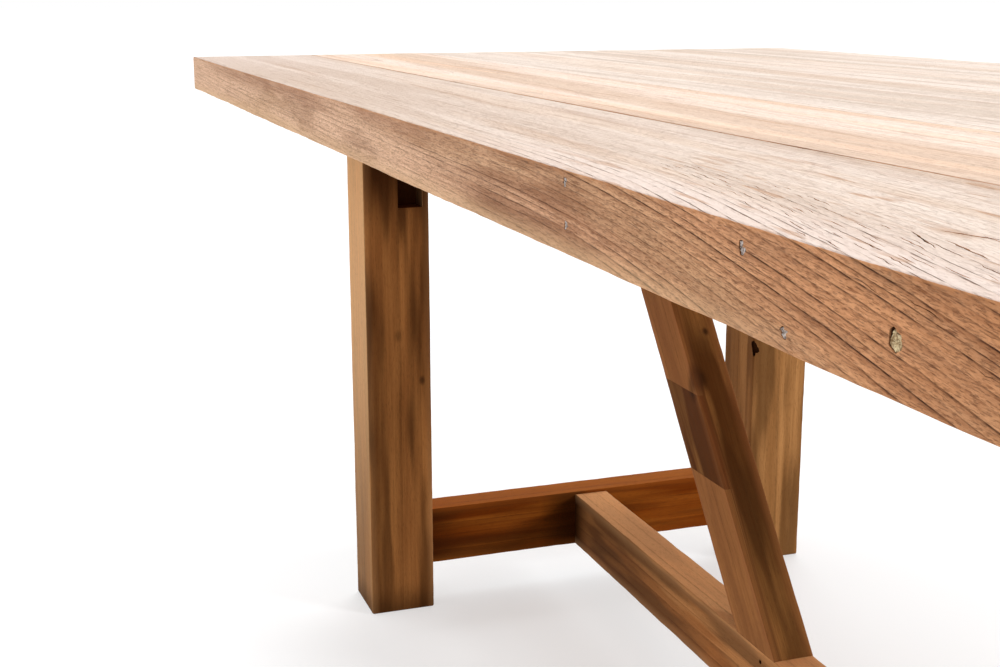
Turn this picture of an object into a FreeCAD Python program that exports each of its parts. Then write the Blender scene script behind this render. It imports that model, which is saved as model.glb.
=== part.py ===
import FreeCAD, Part
import os

import Sketcher

# Dining table of reclaimed teak on a trestle base.
# Six planks with loose tongues make the top. Under each end a bearer sits on two posts, which a low cross
# rail ties together. A long stretcher joins the two rails, and a brace rises from it to the top at each end.
# Millimetres. X runs along the table, Y across it and Z up, from the floor under the middle of the top.

SIZES = {
    # Top
    "table_height": 760,
    "top_length": 2400,
    "top_thickness": 48,
    "plank_1_width": 180,
    "plank_2_width": 178,
    "plank_3_width": 170,
    "plank_4_width": 162,
    "plank_5_width": 158,
    "plank_6_width": 152,
    "edge_rounding": 3,
    "plank_easing": 1.5,
    # Loose tongues in the seams of the top
    "tongue_thickness": 12,
    "tongue_width": 32,
    "tongue_end_stop": 60,
    # Posts, bearers and batten
    "post_size": 90,
    "end_overhang": 305,
    "side_inset": 160,
    "bearer_height": 38,
    "bearer_end_inset": 60,
    "bearer_end_chamfer": 24,
    "batten_width": 70,
    "batten_height": 28,
    "batten_end_chamfer": 14,
    "timber_easing": 2.5,
    "foot_chamfer": 2,
    "post_tenon_size": 44,
    "post_tenon_height": 26,
    # Old mortise left in the reclaimed near left post
    "old_mortise_width": 34,
    "old_mortise_height": 60,
    "old_mortise_depth": 30,
    "old_mortise_offset": 19,
    "old_mortise_below_bearer": 40,
    # Cross rails and long stretcher
    "rail_floor_gap": 57,
    "rail_thickness": 46,
    "rail_height": 81,
    "rail_tenon_thickness": 18,
    "rail_tenon_height": 52,
    "rail_tenon_length": 50,
    "stretcher_width": 50,
    "stretcher_height": 77,
    "stretcher_tenon_width": 26,
    "stretcher_tenon_height": 46,
    "stretcher_tenon_length": 14,
    # Braces
    "brace_width": 50,
    "brace_depth": 70,
    "brace_head_from_post": 5,
    "brace_foot_from_post": 469,
    "brace_tenon_thickness": 18,
    "brace_tenon_length": 40,
    "brace_tenon_depth": 12,
    # Screws that hold the planks
    "screw_diameter": 5.5,
    "screw_length": 52,
    "screw_tip": 8,
    "screw_grip": 22,
    "screw_from_seam": 45,
    "screw_head_diameter": 12,
    "screw_head_height": 5,
    "screw_slot_width": 1.6,
    "screw_slot_depth": 2,
    # Bolts, washers and barrel nuts of the stretcher
    "bolt_diameter": 8,
    "bolt_head_across_corners": 15,
    "bolt_head_height": 5.5,
    "bolt_past_nut": 12,
    "washer_diameter": 24,
    "washer_thickness": 2,
    "nut_diameter": 14,
    "nut_length": 32,
    "nut_inset": 55,
    # Filled hole and nail stubs in the near edge of the top
    "plug_diameter": 9,
    "plug_length": 18,
    "plug_from_middle": 620,
    "plug_above_underside": 22.5,
    "stub_diameter": 5,
    "stub_length": 24,
    "stub_1_from_middle": 507,
    "stub_1_above_underside": 37,
    "stub_2_from_middle": 544,
    "stub_2_above_underside": 8.5,
    "stub_3_from_middle": 306,
    "stub_3_above_underside": 41,
    "stub_4_from_middle": 308,
    "stub_4_above_underside": 17,
    # Old nail hole in the stretcher
    "nail_hole_diameter": 5,
    "nail_hole_depth": 12,
    "nail_hole_from_middle": 277,
    "nail_hole_below_top": 14,
    # Fits
    "joint_clearance": 0.2,
    "joint_end_gap": 0.8,
}
PLANK_COUNT = 6
STUB_COUNT = 4
SCREW_ROW_COUNT = 3
NO_TURN = FreeCAD.Rotation()
HALF_TURN = FreeCAD.Rotation(FreeCAD.Vector(0, 0, 1), 180)
INTO_NEAR_EDGE = FreeCAD.Rotation(FreeCAD.Vector(1, 0, 0), -90)
AXIS_ALONG_X = FreeCAD.Rotation(FreeCAD.Vector(0, 1, 0), 90)

os.makedirs("parts", exist_ok=True)
doc = FreeCAD.newDocument("trestle_table")
sheet = doc.addObject("Spreadsheet::Sheet", "Sizes")
for row, (alias, value) in enumerate(SIZES.items(), start=1):
    sheet.set(f"A{row}", alias)
    sheet.set(f"B{row}", str(value))
    sheet.setAlias(f"B{row}", alias)
doc.recompute()

nodes = []


# Places that several pieces share, as expressions
def plank_width(number):
    return f"Sizes.plank_{number}_width"


def plank_run(count):
    """Width of the first planks together."""
    return "(" + " + ".join(["0"] + [plank_width(number) for number in range(1, count + 1)]) + ")"


TOP_WIDTH = plank_run(PLANK_COUNT)
UNDERSIDE = "(Sizes.table_height - Sizes.top_thickness)"
POST_HEIGHT = f"({UNDERSIDE} - Sizes.bearer_height)"
FRAME_X = "(Sizes.top_length / 2 - Sizes.end_overhang - Sizes.post_size / 2)"
POST_Y = f"({TOP_WIDTH} / 2 - Sizes.side_inset - Sizes.post_size / 2)"
BEARER_LENGTH = f"({TOP_WIDTH} - 2 * Sizes.bearer_end_inset)"
RAIL_SPAN = f"(2 * {POST_Y} - Sizes.post_size)"
STRETCHER_SPAN = f"(2 * {FRAME_X} - Sizes.rail_thickness)"
STRETCHER_MIDDLE = "(Sizes.stretcher_height / 2)"
STRETCHER_TOP = "(Sizes.rail_floor_gap + Sizes.stretcher_height)"
BOLT_Z = f"(Sizes.rail_floor_gap + {STRETCHER_MIDDLE})"
BOLT_SEAT_X = f"({FRAME_X} + Sizes.rail_thickness / 2 + Sizes.washer_thickness)"
NUT_X = f"({STRETCHER_SPAN} / 2 - Sizes.nut_inset)"
BRACE_X = f"({FRAME_X} - Sizes.post_size / 2)"
BRACE_RISE = f"({UNDERSIDE} - {STRETCHER_TOP})"
BRACE_RUN = "(Sizes.brace_foot_from_post - Sizes.brace_head_from_post)"
BRACE_CUT = f"(Sizes.brace_depth * sqrt({BRACE_RUN}^2 + {BRACE_RISE}^2) / {BRACE_RISE})"


def seam_y(count):
    """Y of the far side of the first planks."""
    return f"({plank_run(count)} - {TOP_WIDTH} / 2)"


def plank_y(number):
    """Y of a plank's own middle."""
    return f"({seam_y(number)} - {plank_width(number)} / 2)"


def screw_from_plank_middle(number):
    """Y of a plank's screw in the plank, set off from the seam that is nearer the middle of the table."""
    reach = f"({plank_width(number)} / 2 - Sizes.screw_from_seam)"
    return reach if number <= PLANK_COUNT / 2 else f"(-{reach})"


def screw_y(number):
    """Y of a plank's screw in the table."""
    return f"({plank_y(number)} + {screw_from_plank_middle(number)})"


def brace_tenon_x(end):
    """X of the middle of a brace's head or foot tenon, from the middle of the table."""
    return f"({BRACE_X} - Sizes.brace_{end}_from_post - {BRACE_CUT} / 2)"


def hole_for(diameter):
    """Diameter of a hole that clears a round piece."""
    return f"({diameter} + 2 * Sizes.joint_clearance)"


# Ways of making pieces
def place(piece, x, y, z, rotation=NO_TURN):
    piece.Placement = FreeCAD.Placement(FreeCAD.Vector(), rotation)
    for axis, position in zip("xyz", (x, y, z)):
        piece.setExpression(f"Placement.Base.{axis}", position)


def keep(piece, name):
    """Names a finished piece, whose label is its file's name."""
    piece.Label = name
    nodes.append(piece)


def new_body(name):
    return doc.addObject("PartDesign::Body", f"{name}_body")


def origin_feature(body, role):
    return next(feature for feature in body.Origin.OriginFeatures if feature.Role == role)


def new_sketch(body, plane, offset="0"):
    """A sketch on one of the body's own planes, moved along that plane's normal."""
    sketch = body.newObject("Sketcher::SketchObject", "outline")
    sketch.AttachmentSupport = [(origin_feature(body, plane), "")]
    sketch.MapMode = "FlatFace"
    sketch.setExpression("AttachmentOffset.Base.z", offset)
    return sketch


def fix_point(sketch, line, point, x, y):
    """Holds a point of a sketch at two expressions."""
    for kind, position in (("DistanceX", x), ("DistanceY", y)):
        constraint = sketch.addConstraint(Sketcher.Constraint(kind, -1, 1, line, point, 1.0))
        sketch.setExpression(f"Constraints[{constraint}]", position)


def polygon(sketch, corners):
    """A closed outline whose corners are pairs of expressions."""
    first = sketch.GeometryCount
    for _ in corners:
        sketch.addGeometry(Part.LineSegment(FreeCAD.Vector(0, 0, 0), FreeCAD.Vector(1, 1, 0)))
    for index, (x, y) in enumerate(corners):
        following = first + (index + 1) % len(corners)
        sketch.addConstraint(Sketcher.Constraint("Coincident", first + index, 2, following, 1))
        fix_point(sketch, first + index, 1, x, y)


def rectangle(sketch, left, right, low, high):
    polygon(sketch, [(left, low), (right, low), (right, high), (left, high)])


def middle_rectangle(sketch, x, y, half_x, half_y):
    rectangle(sketch, f"{x} - {half_x}", f"{x} + {half_x}", f"{y} - {half_y}", f"{y} + {half_y}")


def circle(sketch, x, y, diameter):
    ring = sketch.addGeometry(Part.Circle(FreeCAD.Vector(1, 1, 0), FreeCAD.Vector(0, 0, 1), 1))
    fix_point(sketch, ring, 3, x, y)
    wide = sketch.addConstraint(Sketcher.Constraint("Diameter", ring, 2.0))
    sketch.setExpression(f"Constraints[{wide}]", diameter)


def pad(body, sketch, length, symmetric=False):
    feature = body.newObject("PartDesign::Pad", "pad")
    feature.Profile = sketch
    feature.SideType = "Symmetric" if symmetric else "One side"
    feature.setExpression("Length", length)
    doc.recompute()


def pocket(body, sketch, depth, along_normal=False):
    """Cuts a sketch into the body and makes sure that wood is taken away."""
    before = body.Shape.Volume
    feature = body.newObject("PartDesign::Pocket", "cut")
    feature.Profile = sketch
    feature.Reversed = along_normal
    feature.setExpression("Length", depth)
    doc.recompute()
    if body.Shape.Volume >= before:
        raise RuntimeError(f"{body.Name}: a cut takes nothing away")
    return feature


def edges_where(shape, wanted):
    """Names of the edges whose middle and direction pass a test."""
    names = []
    for number, edge in enumerate(shape.Edges, start=1):
        if wanted(edge.CenterOfMass, edge.tangentAt(edge.FirstParameter)):
            names.append(f"Edge{number}")
    return names


def ease(body, kind, amount, wanted):
    """Rounds (Fillet) or bevels (Chamfer) the edges of the body that pass a test."""
    base = body.Tip
    feature = body.newObject(f"PartDesign::{kind}", "eased_edges")
    feature.Base = (base, edges_where(base.Shape, wanted))
    feature.setExpression("Radius" if kind == "Fillet" else "Size", amount)
    doc.recompute()


def runs_along(axis, direction):
    return abs(getattr(direction, axis)) > 0.99


def on_floor(middle):
    return abs(middle.z) < 0.001


# Top planks, each from its own middle and underside
def cut_groove(body, number, near_side):
    """Stopped groove for a loose tongue along one edge of a plank."""
    side = f"{plank_width(number)} / 2"
    sketch = new_sketch(body, "XZ_Plane", side if near_side else f"-{side}")
    half_length = "(Sizes.top_length / 2 - Sizes.tongue_end_stop + Sizes.joint_clearance)"
    half_height = "(Sizes.tongue_thickness / 2 + Sizes.joint_clearance)"
    middle_rectangle(sketch, "0", "Sizes.top_thickness / 2", half_length, half_height)
    pocket(body, sketch, "Sizes.tongue_width / 2 + Sizes.joint_end_gap", along_normal=not near_side)


def cut_brace_mortises(body, height, end, y, upward):
    """Two mortises for the head or foot tenons of the braces."""
    sketch = new_sketch(body, "XY_Plane", height)
    half_length = "(Sizes.brace_tenon_length / 2 + Sizes.joint_clearance)"
    half_width = "(Sizes.brace_tenon_thickness / 2 + Sizes.joint_clearance)"
    for x in (f"-{brace_tenon_x(end)}", brace_tenon_x(end)):
        middle_rectangle(sketch, x, y, half_length, half_width)
    pocket(body, sketch, "Sizes.brace_tenon_depth + Sizes.joint_end_gap", along_normal=upward)


def cut_edge_holes(body):
    """Holes of the filled plug and the nail stubs in the near edge."""
    near_edge = f"{plank_width(1)} / 2"
    plug_hole = new_sketch(body, "XZ_Plane", near_edge)
    circle(plug_hole, "Sizes.plug_from_middle", "Sizes.plug_above_underside", hole_for("Sizes.plug_diameter"))
    pocket(body, plug_hole, "Sizes.plug_length")
    stub_holes = new_sketch(body, "XZ_Plane", near_edge)
    for number in range(1, STUB_COUNT + 1):
        x = f"Sizes.stub_{number}_from_middle"
        circle(stub_holes, x, f"Sizes.stub_{number}_above_underside", hole_for("Sizes.stub_diameter"))
    pocket(body, stub_holes, "Sizes.stub_length")


def lies_over_braces(number):
    """Whether a plank covers some of the brace tenons, which stand along the middle of the table."""
    reach = sheet.evalExpression("Sizes.brace_tenon_thickness / 2 + Sizes.joint_clearance")
    return sheet.evalExpression(seam_y(number - 1)) < reach and sheet.evalExpression(seam_y(number)) > -reach


def make_plank(number):
    body = new_body(f"top_plank_{number}")
    blank = new_sketch(body, "XY_Plane")
    middle_rectangle(blank, "0", "0", "Sizes.top_length / 2", f"{plank_width(number)} / 2")
    pad(body, blank, "Sizes.top_thickness")
    outer_side = {1: -1, PLANK_COUNT: 1}.get(number, 0)
    upper_half = sheet.top_thickness / 2

    def is_outer_arris(at, way):
        return runs_along("x", way) and at.y * outer_side > 0

    def is_seam_arris(at, way):
        return runs_along("x", way) and at.z > upper_half and at.y * outer_side <= 0

    if outer_side:
        ease(body, "Fillet", "Sizes.edge_rounding", is_outer_arris)
    ease(body, "Chamfer", "Sizes.plank_easing", is_seam_arris)
    if number > 1:
        cut_groove(body, number, near_side=True)
    if number < PLANK_COUNT:
        cut_groove(body, number, near_side=False)
    screw_holes = new_sketch(body, "XY_Plane")
    for x in (f"-{FRAME_X}", "0", FRAME_X):
        circle(screw_holes, x, screw_from_plank_middle(number), hole_for("Sizes.screw_diameter"))
    screw_reach = "Sizes.screw_length - Sizes.screw_grip + Sizes.joint_end_gap"
    pocket(body, screw_holes, screw_reach, along_normal=True)
    if lies_over_braces(number):
        cut_brace_mortises(body, "0", "head", f"(-{plank_y(number)})", upward=True)
    if number == 1:
        cut_edge_holes(body)
    place(body, "0", plank_y(number), UNDERSIDE)
    keep(body, f"top_plank_{number}")


for number in range(1, PLANK_COUNT + 1):
    make_plank(number)


# Loose tongues in the seams
tongues = []
for number in range(1, PLANK_COUNT):
    tongue = doc.addObject("Part::Box", "tongue")
    tongue.setExpression("Length", "Sizes.top_length - 2 * Sizes.tongue_end_stop")
    tongue.setExpression("Width", "Sizes.tongue_width")
    tongue.setExpression("Height", "Sizes.tongue_thickness")
    place(
        tongue,
        "Sizes.tongue_end_stop - Sizes.top_length / 2",
        f"{seam_y(number)} - Sizes.tongue_width / 2",
        f"{UNDERSIDE} + (Sizes.top_thickness - Sizes.tongue_thickness) / 2 - Sizes.joint_clearance",
    )
    tongues.append(tongue)
plank_tongues = doc.addObject("Part::Compound", "tongue_set")
plank_tongues.Links = tongues
keep(plank_tongues, "plank_tongues")


# Bearers on the posts and the batten in the middle, each from the middle of its underside
def make_cross_piece(name, x, width, height, end_chamfer, on_posts):
    body = new_body(name)
    blank = new_sketch(body, "XY_Plane")
    middle_rectangle(blank, "0", "0", f"{width} / 2", f"{BEARER_LENGTH} / 2")
    pad(body, blank, height)
    ease(body, "Chamfer", end_chamfer, lambda at, way: runs_along("x", way) and on_floor(at))
    screw_holes = new_sketch(body, "XY_Plane")
    head_holes = new_sketch(body, "XY_Plane")
    for number in range(1, PLANK_COUNT + 1):
        circle(screw_holes, "0", screw_y(number), hole_for("Sizes.screw_diameter"))
        circle(head_holes, "0", screw_y(number), hole_for("Sizes.screw_head_diameter"))
    pocket(body, screw_holes, height, along_normal=True)
    pocket(body, head_holes, f"{height} - Sizes.screw_grip", along_normal=True)
    if on_posts:
        mortises = new_sketch(body, "XY_Plane")
        half = "(Sizes.post_tenon_size / 2 + Sizes.joint_clearance)"
        for y in (f"-{POST_Y}", POST_Y):
            middle_rectangle(mortises, "0", y, half, half)
        pocket(body, mortises, "Sizes.post_tenon_height + Sizes.joint_end_gap", along_normal=True)
    place(body, x, "0", f"{UNDERSIDE} - {height}")
    keep(body, name)


BEARER_SIZES = ("Sizes.post_size", "Sizes.bearer_height", "Sizes.bearer_end_chamfer")
BATTEN_SIZES = ("Sizes.batten_width", "Sizes.batten_height", "Sizes.batten_end_chamfer")
for side, x in (("left", f"-{FRAME_X}"), ("right", FRAME_X)):
    make_cross_piece(f"bearer_{side}", x, *BEARER_SIZES, on_posts=True)
make_cross_piece("middle_batten", "0", *BATTEN_SIZES, on_posts=False)


# Posts, each from the middle of its foot, with the rail's mortise facing the other post
def make_post(name, x, y, rotation, has_old_mortise):
    body = new_body(name)
    section = new_sketch(body, "XY_Plane")
    middle_rectangle(section, "0", "0", "Sizes.post_size / 2", "Sizes.post_size / 2")
    pad(body, section, POST_HEIGHT)
    ease(body, "Fillet", "Sizes.timber_easing", lambda at, way: runs_along("z", way))
    ease(body, "Chamfer", "Sizes.foot_chamfer", lambda at, way: on_floor(at))
    tenon = new_sketch(body, "XY_Plane", POST_HEIGHT)
    middle_rectangle(tenon, "0", "0", "Sizes.post_tenon_size / 2", "Sizes.post_tenon_size / 2")
    pad(body, tenon, "Sizes.post_tenon_height")
    mortise = new_sketch(body, "XZ_Plane", "-Sizes.post_size / 2")
    middle_rectangle(
        mortise,
        "0",
        "(Sizes.rail_floor_gap + Sizes.rail_height / 2)",
        "(Sizes.rail_tenon_thickness / 2 + Sizes.joint_clearance)",
        "(Sizes.rail_tenon_height / 2 + Sizes.joint_clearance)",
    )
    pocket(body, mortise, "Sizes.rail_tenon_length + Sizes.joint_end_gap", along_normal=True)
    if has_old_mortise:
        old_mortise = new_sketch(body, "YZ_Plane", "Sizes.post_size / 2")
        middle_rectangle(
            old_mortise,
            "Sizes.old_mortise_offset",
            f"({POST_HEIGHT} - Sizes.old_mortise_below_bearer - Sizes.old_mortise_height / 2)",
            "Sizes.old_mortise_width / 2",
            "Sizes.old_mortise_height / 2",
        )
        pocket(body, old_mortise, "Sizes.old_mortise_depth")
    place(body, x, y, "0", rotation)
    keep(body, name)


for side, x in (("left", f"-{FRAME_X}"), ("right", FRAME_X)):
    make_post(f"post_front_{side}", x, f"-{POST_Y}", NO_TURN, has_old_mortise=side == "left")
    make_post(f"post_back_{side}", x, POST_Y, HALF_TURN, has_old_mortise=False)


# Cross rails, each from the middle of its underside, with the stretcher's mortise on the inner face
def make_rail(name, x, rotation):
    body = new_body(name)
    section = new_sketch(body, "XZ_Plane")
    half_thickness = "Sizes.rail_thickness / 2"
    rectangle(section, f"-{half_thickness}", half_thickness, "0", "Sizes.rail_height")
    pad(body, section, RAIL_SPAN, symmetric=True)
    ease(body, "Fillet", "Sizes.timber_easing", lambda at, way: runs_along("y", way))
    tenons = new_sketch(body, "XZ_Plane")
    middle_rectangle(
        tenons, "0", "Sizes.rail_height / 2", "Sizes.rail_tenon_thickness / 2", "Sizes.rail_tenon_height / 2"
    )
    pad(body, tenons, f"{RAIL_SPAN} + 2 * Sizes.rail_tenon_length", symmetric=True)
    mortise = new_sketch(body, "YZ_Plane", half_thickness)
    middle_rectangle(
        mortise,
        "0",
        STRETCHER_MIDDLE,
        "(Sizes.stretcher_tenon_width / 2 + Sizes.joint_clearance)",
        "(Sizes.stretcher_tenon_height / 2 + Sizes.joint_clearance)",
    )
    pocket(body, mortise, "Sizes.stretcher_tenon_length + Sizes.joint_end_gap")
    bolt_hole = new_sketch(body, "YZ_Plane", half_thickness)
    circle(bolt_hole, "0", STRETCHER_MIDDLE, hole_for("Sizes.bolt_diameter"))
    pocket(body, bolt_hole, "Sizes.rail_thickness")
    place(body, x, "0", "Sizes.rail_floor_gap", rotation)
    keep(body, name)


make_rail("cross_rail_left", f"-{FRAME_X}", NO_TURN)
make_rail("cross_rail_right", FRAME_X, HALF_TURN)


# Long stretcher, from the middle of its underside
def make_stretcher():
    body = new_body("long_stretcher")
    section = new_sketch(body, "YZ_Plane")
    half_width = "Sizes.stretcher_width / 2"
    rectangle(section, f"-{half_width}", half_width, "0", "Sizes.stretcher_height")
    pad(body, section, STRETCHER_SPAN, symmetric=True)
    ease(body, "Fillet", "Sizes.timber_easing", lambda at, way: runs_along("x", way))
    tenons = new_sketch(body, "YZ_Plane")
    middle_rectangle(
        tenons, "0", STRETCHER_MIDDLE, "Sizes.stretcher_tenon_width / 2", "Sizes.stretcher_tenon_height / 2"
    )
    pad(body, tenons, f"{STRETCHER_SPAN} + 2 * Sizes.stretcher_tenon_length", symmetric=True)
    tenon_end = f"({STRETCHER_SPAN} / 2 + Sizes.stretcher_tenon_length)"
    bolt_reach = "Sizes.stretcher_tenon_length + Sizes.nut_inset + Sizes.bolt_past_nut + Sizes.joint_end_gap"
    for offset, along_normal in ((f"-{tenon_end}", True), (tenon_end, False)):
        bolt_hole = new_sketch(body, "YZ_Plane", offset)
        circle(bolt_hole, "0", STRETCHER_MIDDLE, hole_for("Sizes.bolt_diameter"))
        pocket(body, bolt_hole, bolt_reach, along_normal)
    nut_holes = new_sketch(body, "XY_Plane")
    for x in (f"-{NUT_X}", NUT_X):
        circle(nut_holes, x, "0", hole_for("Sizes.nut_diameter"))
    pocket(body, nut_holes, f"{STRETCHER_MIDDLE} + Sizes.nut_length / 2", along_normal=True)
    cut_brace_mortises(body, "Sizes.stretcher_height", "foot", "0", upward=False)
    nail_hole = new_sketch(body, "XZ_Plane", half_width)
    nail_height = "Sizes.stretcher_height - Sizes.nail_hole_below_top"
    circle(nail_hole, "-Sizes.nail_hole_from_middle", nail_height, "Sizes.nail_hole_diameter")
    pocket(body, nail_hole, "Sizes.nail_hole_depth")
    place(body, "0", "0", "Sizes.rail_floor_gap")
    keep(body, "long_stretcher")


make_stretcher()


# Braces, each from the inner face of the posts and the top of the stretcher, cut level at both ends
def make_brace(name, x, rotation):
    body = new_body(name)
    foot = "Sizes.brace_foot_from_post"
    head = "Sizes.brace_head_from_post"
    side_view = new_sketch(body, "XZ_Plane")
    foot_corners = [(foot, "0"), (f"{foot} + {BRACE_CUT}", "0")]
    head_corners = [(f"{head} + {BRACE_CUT}", BRACE_RISE), (head, BRACE_RISE)]
    polygon(side_view, foot_corners + head_corners)
    pad(body, side_view, "Sizes.brace_width", symmetric=True)
    ease(body, "Fillet", "Sizes.timber_easing", lambda at, way: abs(way.x) > 0.01 and abs(way.z) > 0.01)
    half_length = "Sizes.brace_tenon_length / 2"
    tenons = new_sketch(body, "XZ_Plane")
    for end, low, high in (
        (foot, "-Sizes.brace_tenon_depth", "0"),
        (head, BRACE_RISE, f"{BRACE_RISE} + Sizes.brace_tenon_depth"),
    ):
        middle = f"({end} + {BRACE_CUT} / 2)"
        rectangle(tenons, f"{middle} - {half_length}", f"{middle} + {half_length}", low, high)
    pad(body, tenons, "Sizes.brace_tenon_thickness", symmetric=True)
    place(body, x, "0", STRETCHER_TOP, rotation)
    keep(body, name)


make_brace("brace_left", f"-{BRACE_X}", NO_TURN)
make_brace("brace_right", BRACE_X, HALF_TURN)


# Slotted screws up into the planks, in rows along the table, each from the seat of its head
def make_screw_row(number):
    body = new_body(f"screw_row_{number}")
    profile = new_sketch(body, "XZ_Plane")
    head = "Sizes.screw_head_diameter / 2"
    shank = "Sizes.screw_diameter / 2"
    polygon(
        profile,
        [
            ("0", "-Sizes.screw_head_height"),
            (head, "-Sizes.screw_head_height"),
            (head, "0"),
            (shank, "0"),
            (shank, "Sizes.screw_length - Sizes.screw_tip"),
            ("0", "Sizes.screw_length"),
        ],
    )
    turned = body.newObject("PartDesign::Revolution", "turned")
    turned.Profile = profile
    turned.ReferenceAxis = (profile, ["V_Axis"])
    turned.Angle = 360
    doc.recompute()
    slot = new_sketch(body, "XY_Plane", "-Sizes.screw_head_height")
    middle_rectangle(slot, "0", "0", "Sizes.screw_slot_width / 2", "Sizes.screw_head_diameter")
    slotted = pocket(body, slot, "Sizes.screw_slot_depth", along_normal=True)
    repeated = body.newObject("PartDesign::LinearPattern", "row")
    repeated.Originals = [turned, slotted]
    repeated.Direction = (origin_feature(body, "X_Axis"), [""])
    repeated.setExpression("Length", f"2 * {FRAME_X}")
    repeated.Occurrences = SCREW_ROW_COUNT
    body.Tip = repeated
    doc.recompute()
    place(body, f"-{FRAME_X}", screw_y(number), f"{UNDERSIDE} - Sizes.screw_grip")
    return body


top_screws = doc.addObject("Part::Compound", "screw_set")
top_screws.Links = [make_screw_row(number) for number in range(1, PLANK_COUNT + 1)]
keep(top_screws, "top_screws")


# Bolts, washers and barrel nuts that draw the stretcher against the cross rails
def make_cylinder(diameter, height):
    cylinder = doc.addObject("Part::Cylinder", "cylinder")
    cylinder.setExpression("Radius", f"{diameter} / 2")
    cylinder.setExpression("Height", height)
    return cylinder


def make_pierced(outer, hole):
    pierced = doc.addObject("Part::Cut", "pierced")
    pierced.Base = outer
    pierced.Tool = hole
    return pierced


def make_bolt():
    head = doc.addObject("Part::Prism", "bolt_head")
    head.Polygon = 6
    head.setExpression("Circumradius", "Sizes.bolt_head_across_corners / 2")
    head.setExpression("Height", "Sizes.bolt_head_height")
    place(head, "0", "0", "-Sizes.bolt_head_height")
    grip = "Sizes.washer_thickness + Sizes.rail_thickness"
    shank = make_cylinder("Sizes.bolt_diameter", f"{grip} + Sizes.nut_inset + Sizes.bolt_past_nut")
    bolt = doc.addObject("Part::Fuse", "bolt")
    bolt.Base = head
    bolt.Tool = shank
    return bolt


def make_washer():
    disc = make_cylinder("Sizes.washer_diameter", "Sizes.washer_thickness")
    return make_pierced(disc, make_cylinder(hole_for("Sizes.bolt_diameter"), "Sizes.washer_thickness"))


def make_nut():
    barrel = make_cylinder("Sizes.nut_diameter", "Sizes.nut_length")
    thread = make_cylinder(hole_for("Sizes.bolt_diameter"), "2 * Sizes.nut_diameter")
    place(thread, "-Sizes.nut_diameter", "0", "Sizes.nut_length / 2", AXIS_ALONG_X)
    return make_pierced(barrel, thread)


def keep_pair(name, make, x, z, rotation):
    """One piece at each end of the stretcher, the right one turned about the middle of the table."""
    pair = [make(), make()]
    place(pair[0], f"-{x}", "0", z, rotation)
    place(pair[1], x, "0", z, HALF_TURN * rotation)
    group = doc.addObject("Part::Compound", f"{name}_set")
    group.Links = pair
    keep(group, name)


keep_pair("stretcher_bolts", make_bolt, BOLT_SEAT_X, BOLT_Z, AXIS_ALONG_X)
keep_pair("stretcher_washers", make_washer, BOLT_SEAT_X, BOLT_Z, AXIS_ALONG_X)
keep_pair("barrel_nuts", make_nut, NUT_X, f"({BOLT_Z} - Sizes.nut_length / 2)", NO_TURN)


# Filled hole and nail stubs in the near edge of the top
edge_plug = make_cylinder("Sizes.plug_diameter", "Sizes.plug_length")
plug_height = f"{UNDERSIDE} + Sizes.plug_above_underside"
place(edge_plug, "Sizes.plug_from_middle", f"-{TOP_WIDTH} / 2", plug_height, INTO_NEAR_EDGE)
keep(edge_plug, "edge_plug")

stubs = []
for number in range(1, STUB_COUNT + 1):
    stub = make_cylinder("Sizes.stub_diameter", "Sizes.stub_length")
    stub_height = f"{UNDERSIDE} + Sizes.stub_{number}_above_underside"
    place(stub, f"Sizes.stub_{number}_from_middle", f"-{TOP_WIDTH} / 2", stub_height, INTO_NEAR_EDGE)
    stubs.append(stub)
nail_stubs = doc.addObject("Part::Compound", "stub_set")
nail_stubs.Links = stubs
keep(nail_stubs, "nail_stubs")


# Every piece is sound before any is written
doc.recompute()
for item in doc.Objects:
    if "Invalid" in item.State or "Error" in item.State:
        raise RuntimeError(f"{item.Name} failed: {item.State}")
for piece in nodes:
    if piece.Shape.isNull() or not piece.Shape.isValid() or not piece.Shape.Solids:
        raise RuntimeError(f"{piece.Label} has no sound shape")
for piece in nodes:
    piece.Shape.exportStep(f"parts/{piece.Label}.step")
    box = piece.Shape.BoundBox
    low = f"({box.XMin:.1f}, {box.YMin:.1f}, {box.ZMin:.1f})"
    high = f"({box.XMax:.1f}, {box.YMax:.1f}, {box.ZMax:.1f})"
    print(f"{piece.Label}: {len(piece.Shape.Solids)} solid(s), {low} to {high}")
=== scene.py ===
# %% [markdown]
# # A trestle table of old teak
# The solids of this table are made in CAD and packed as a fixed frame: six planks, two end frames,
# a stretcher, two braces and the small iron that holds them. In this lesson we give them the skin
# that the real table has: pale sanded planks with open cracks, a ruddy near edge with old nails in
# it, and a brown oiled base with smoky streaks. All lengths are metres. X runs along the table,
# Y across it, and Z up from the floor.

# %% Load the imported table
import math
from types import SimpleNamespace

import bpy
import numpy as np
from mathutils import Matrix, Vector


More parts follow.
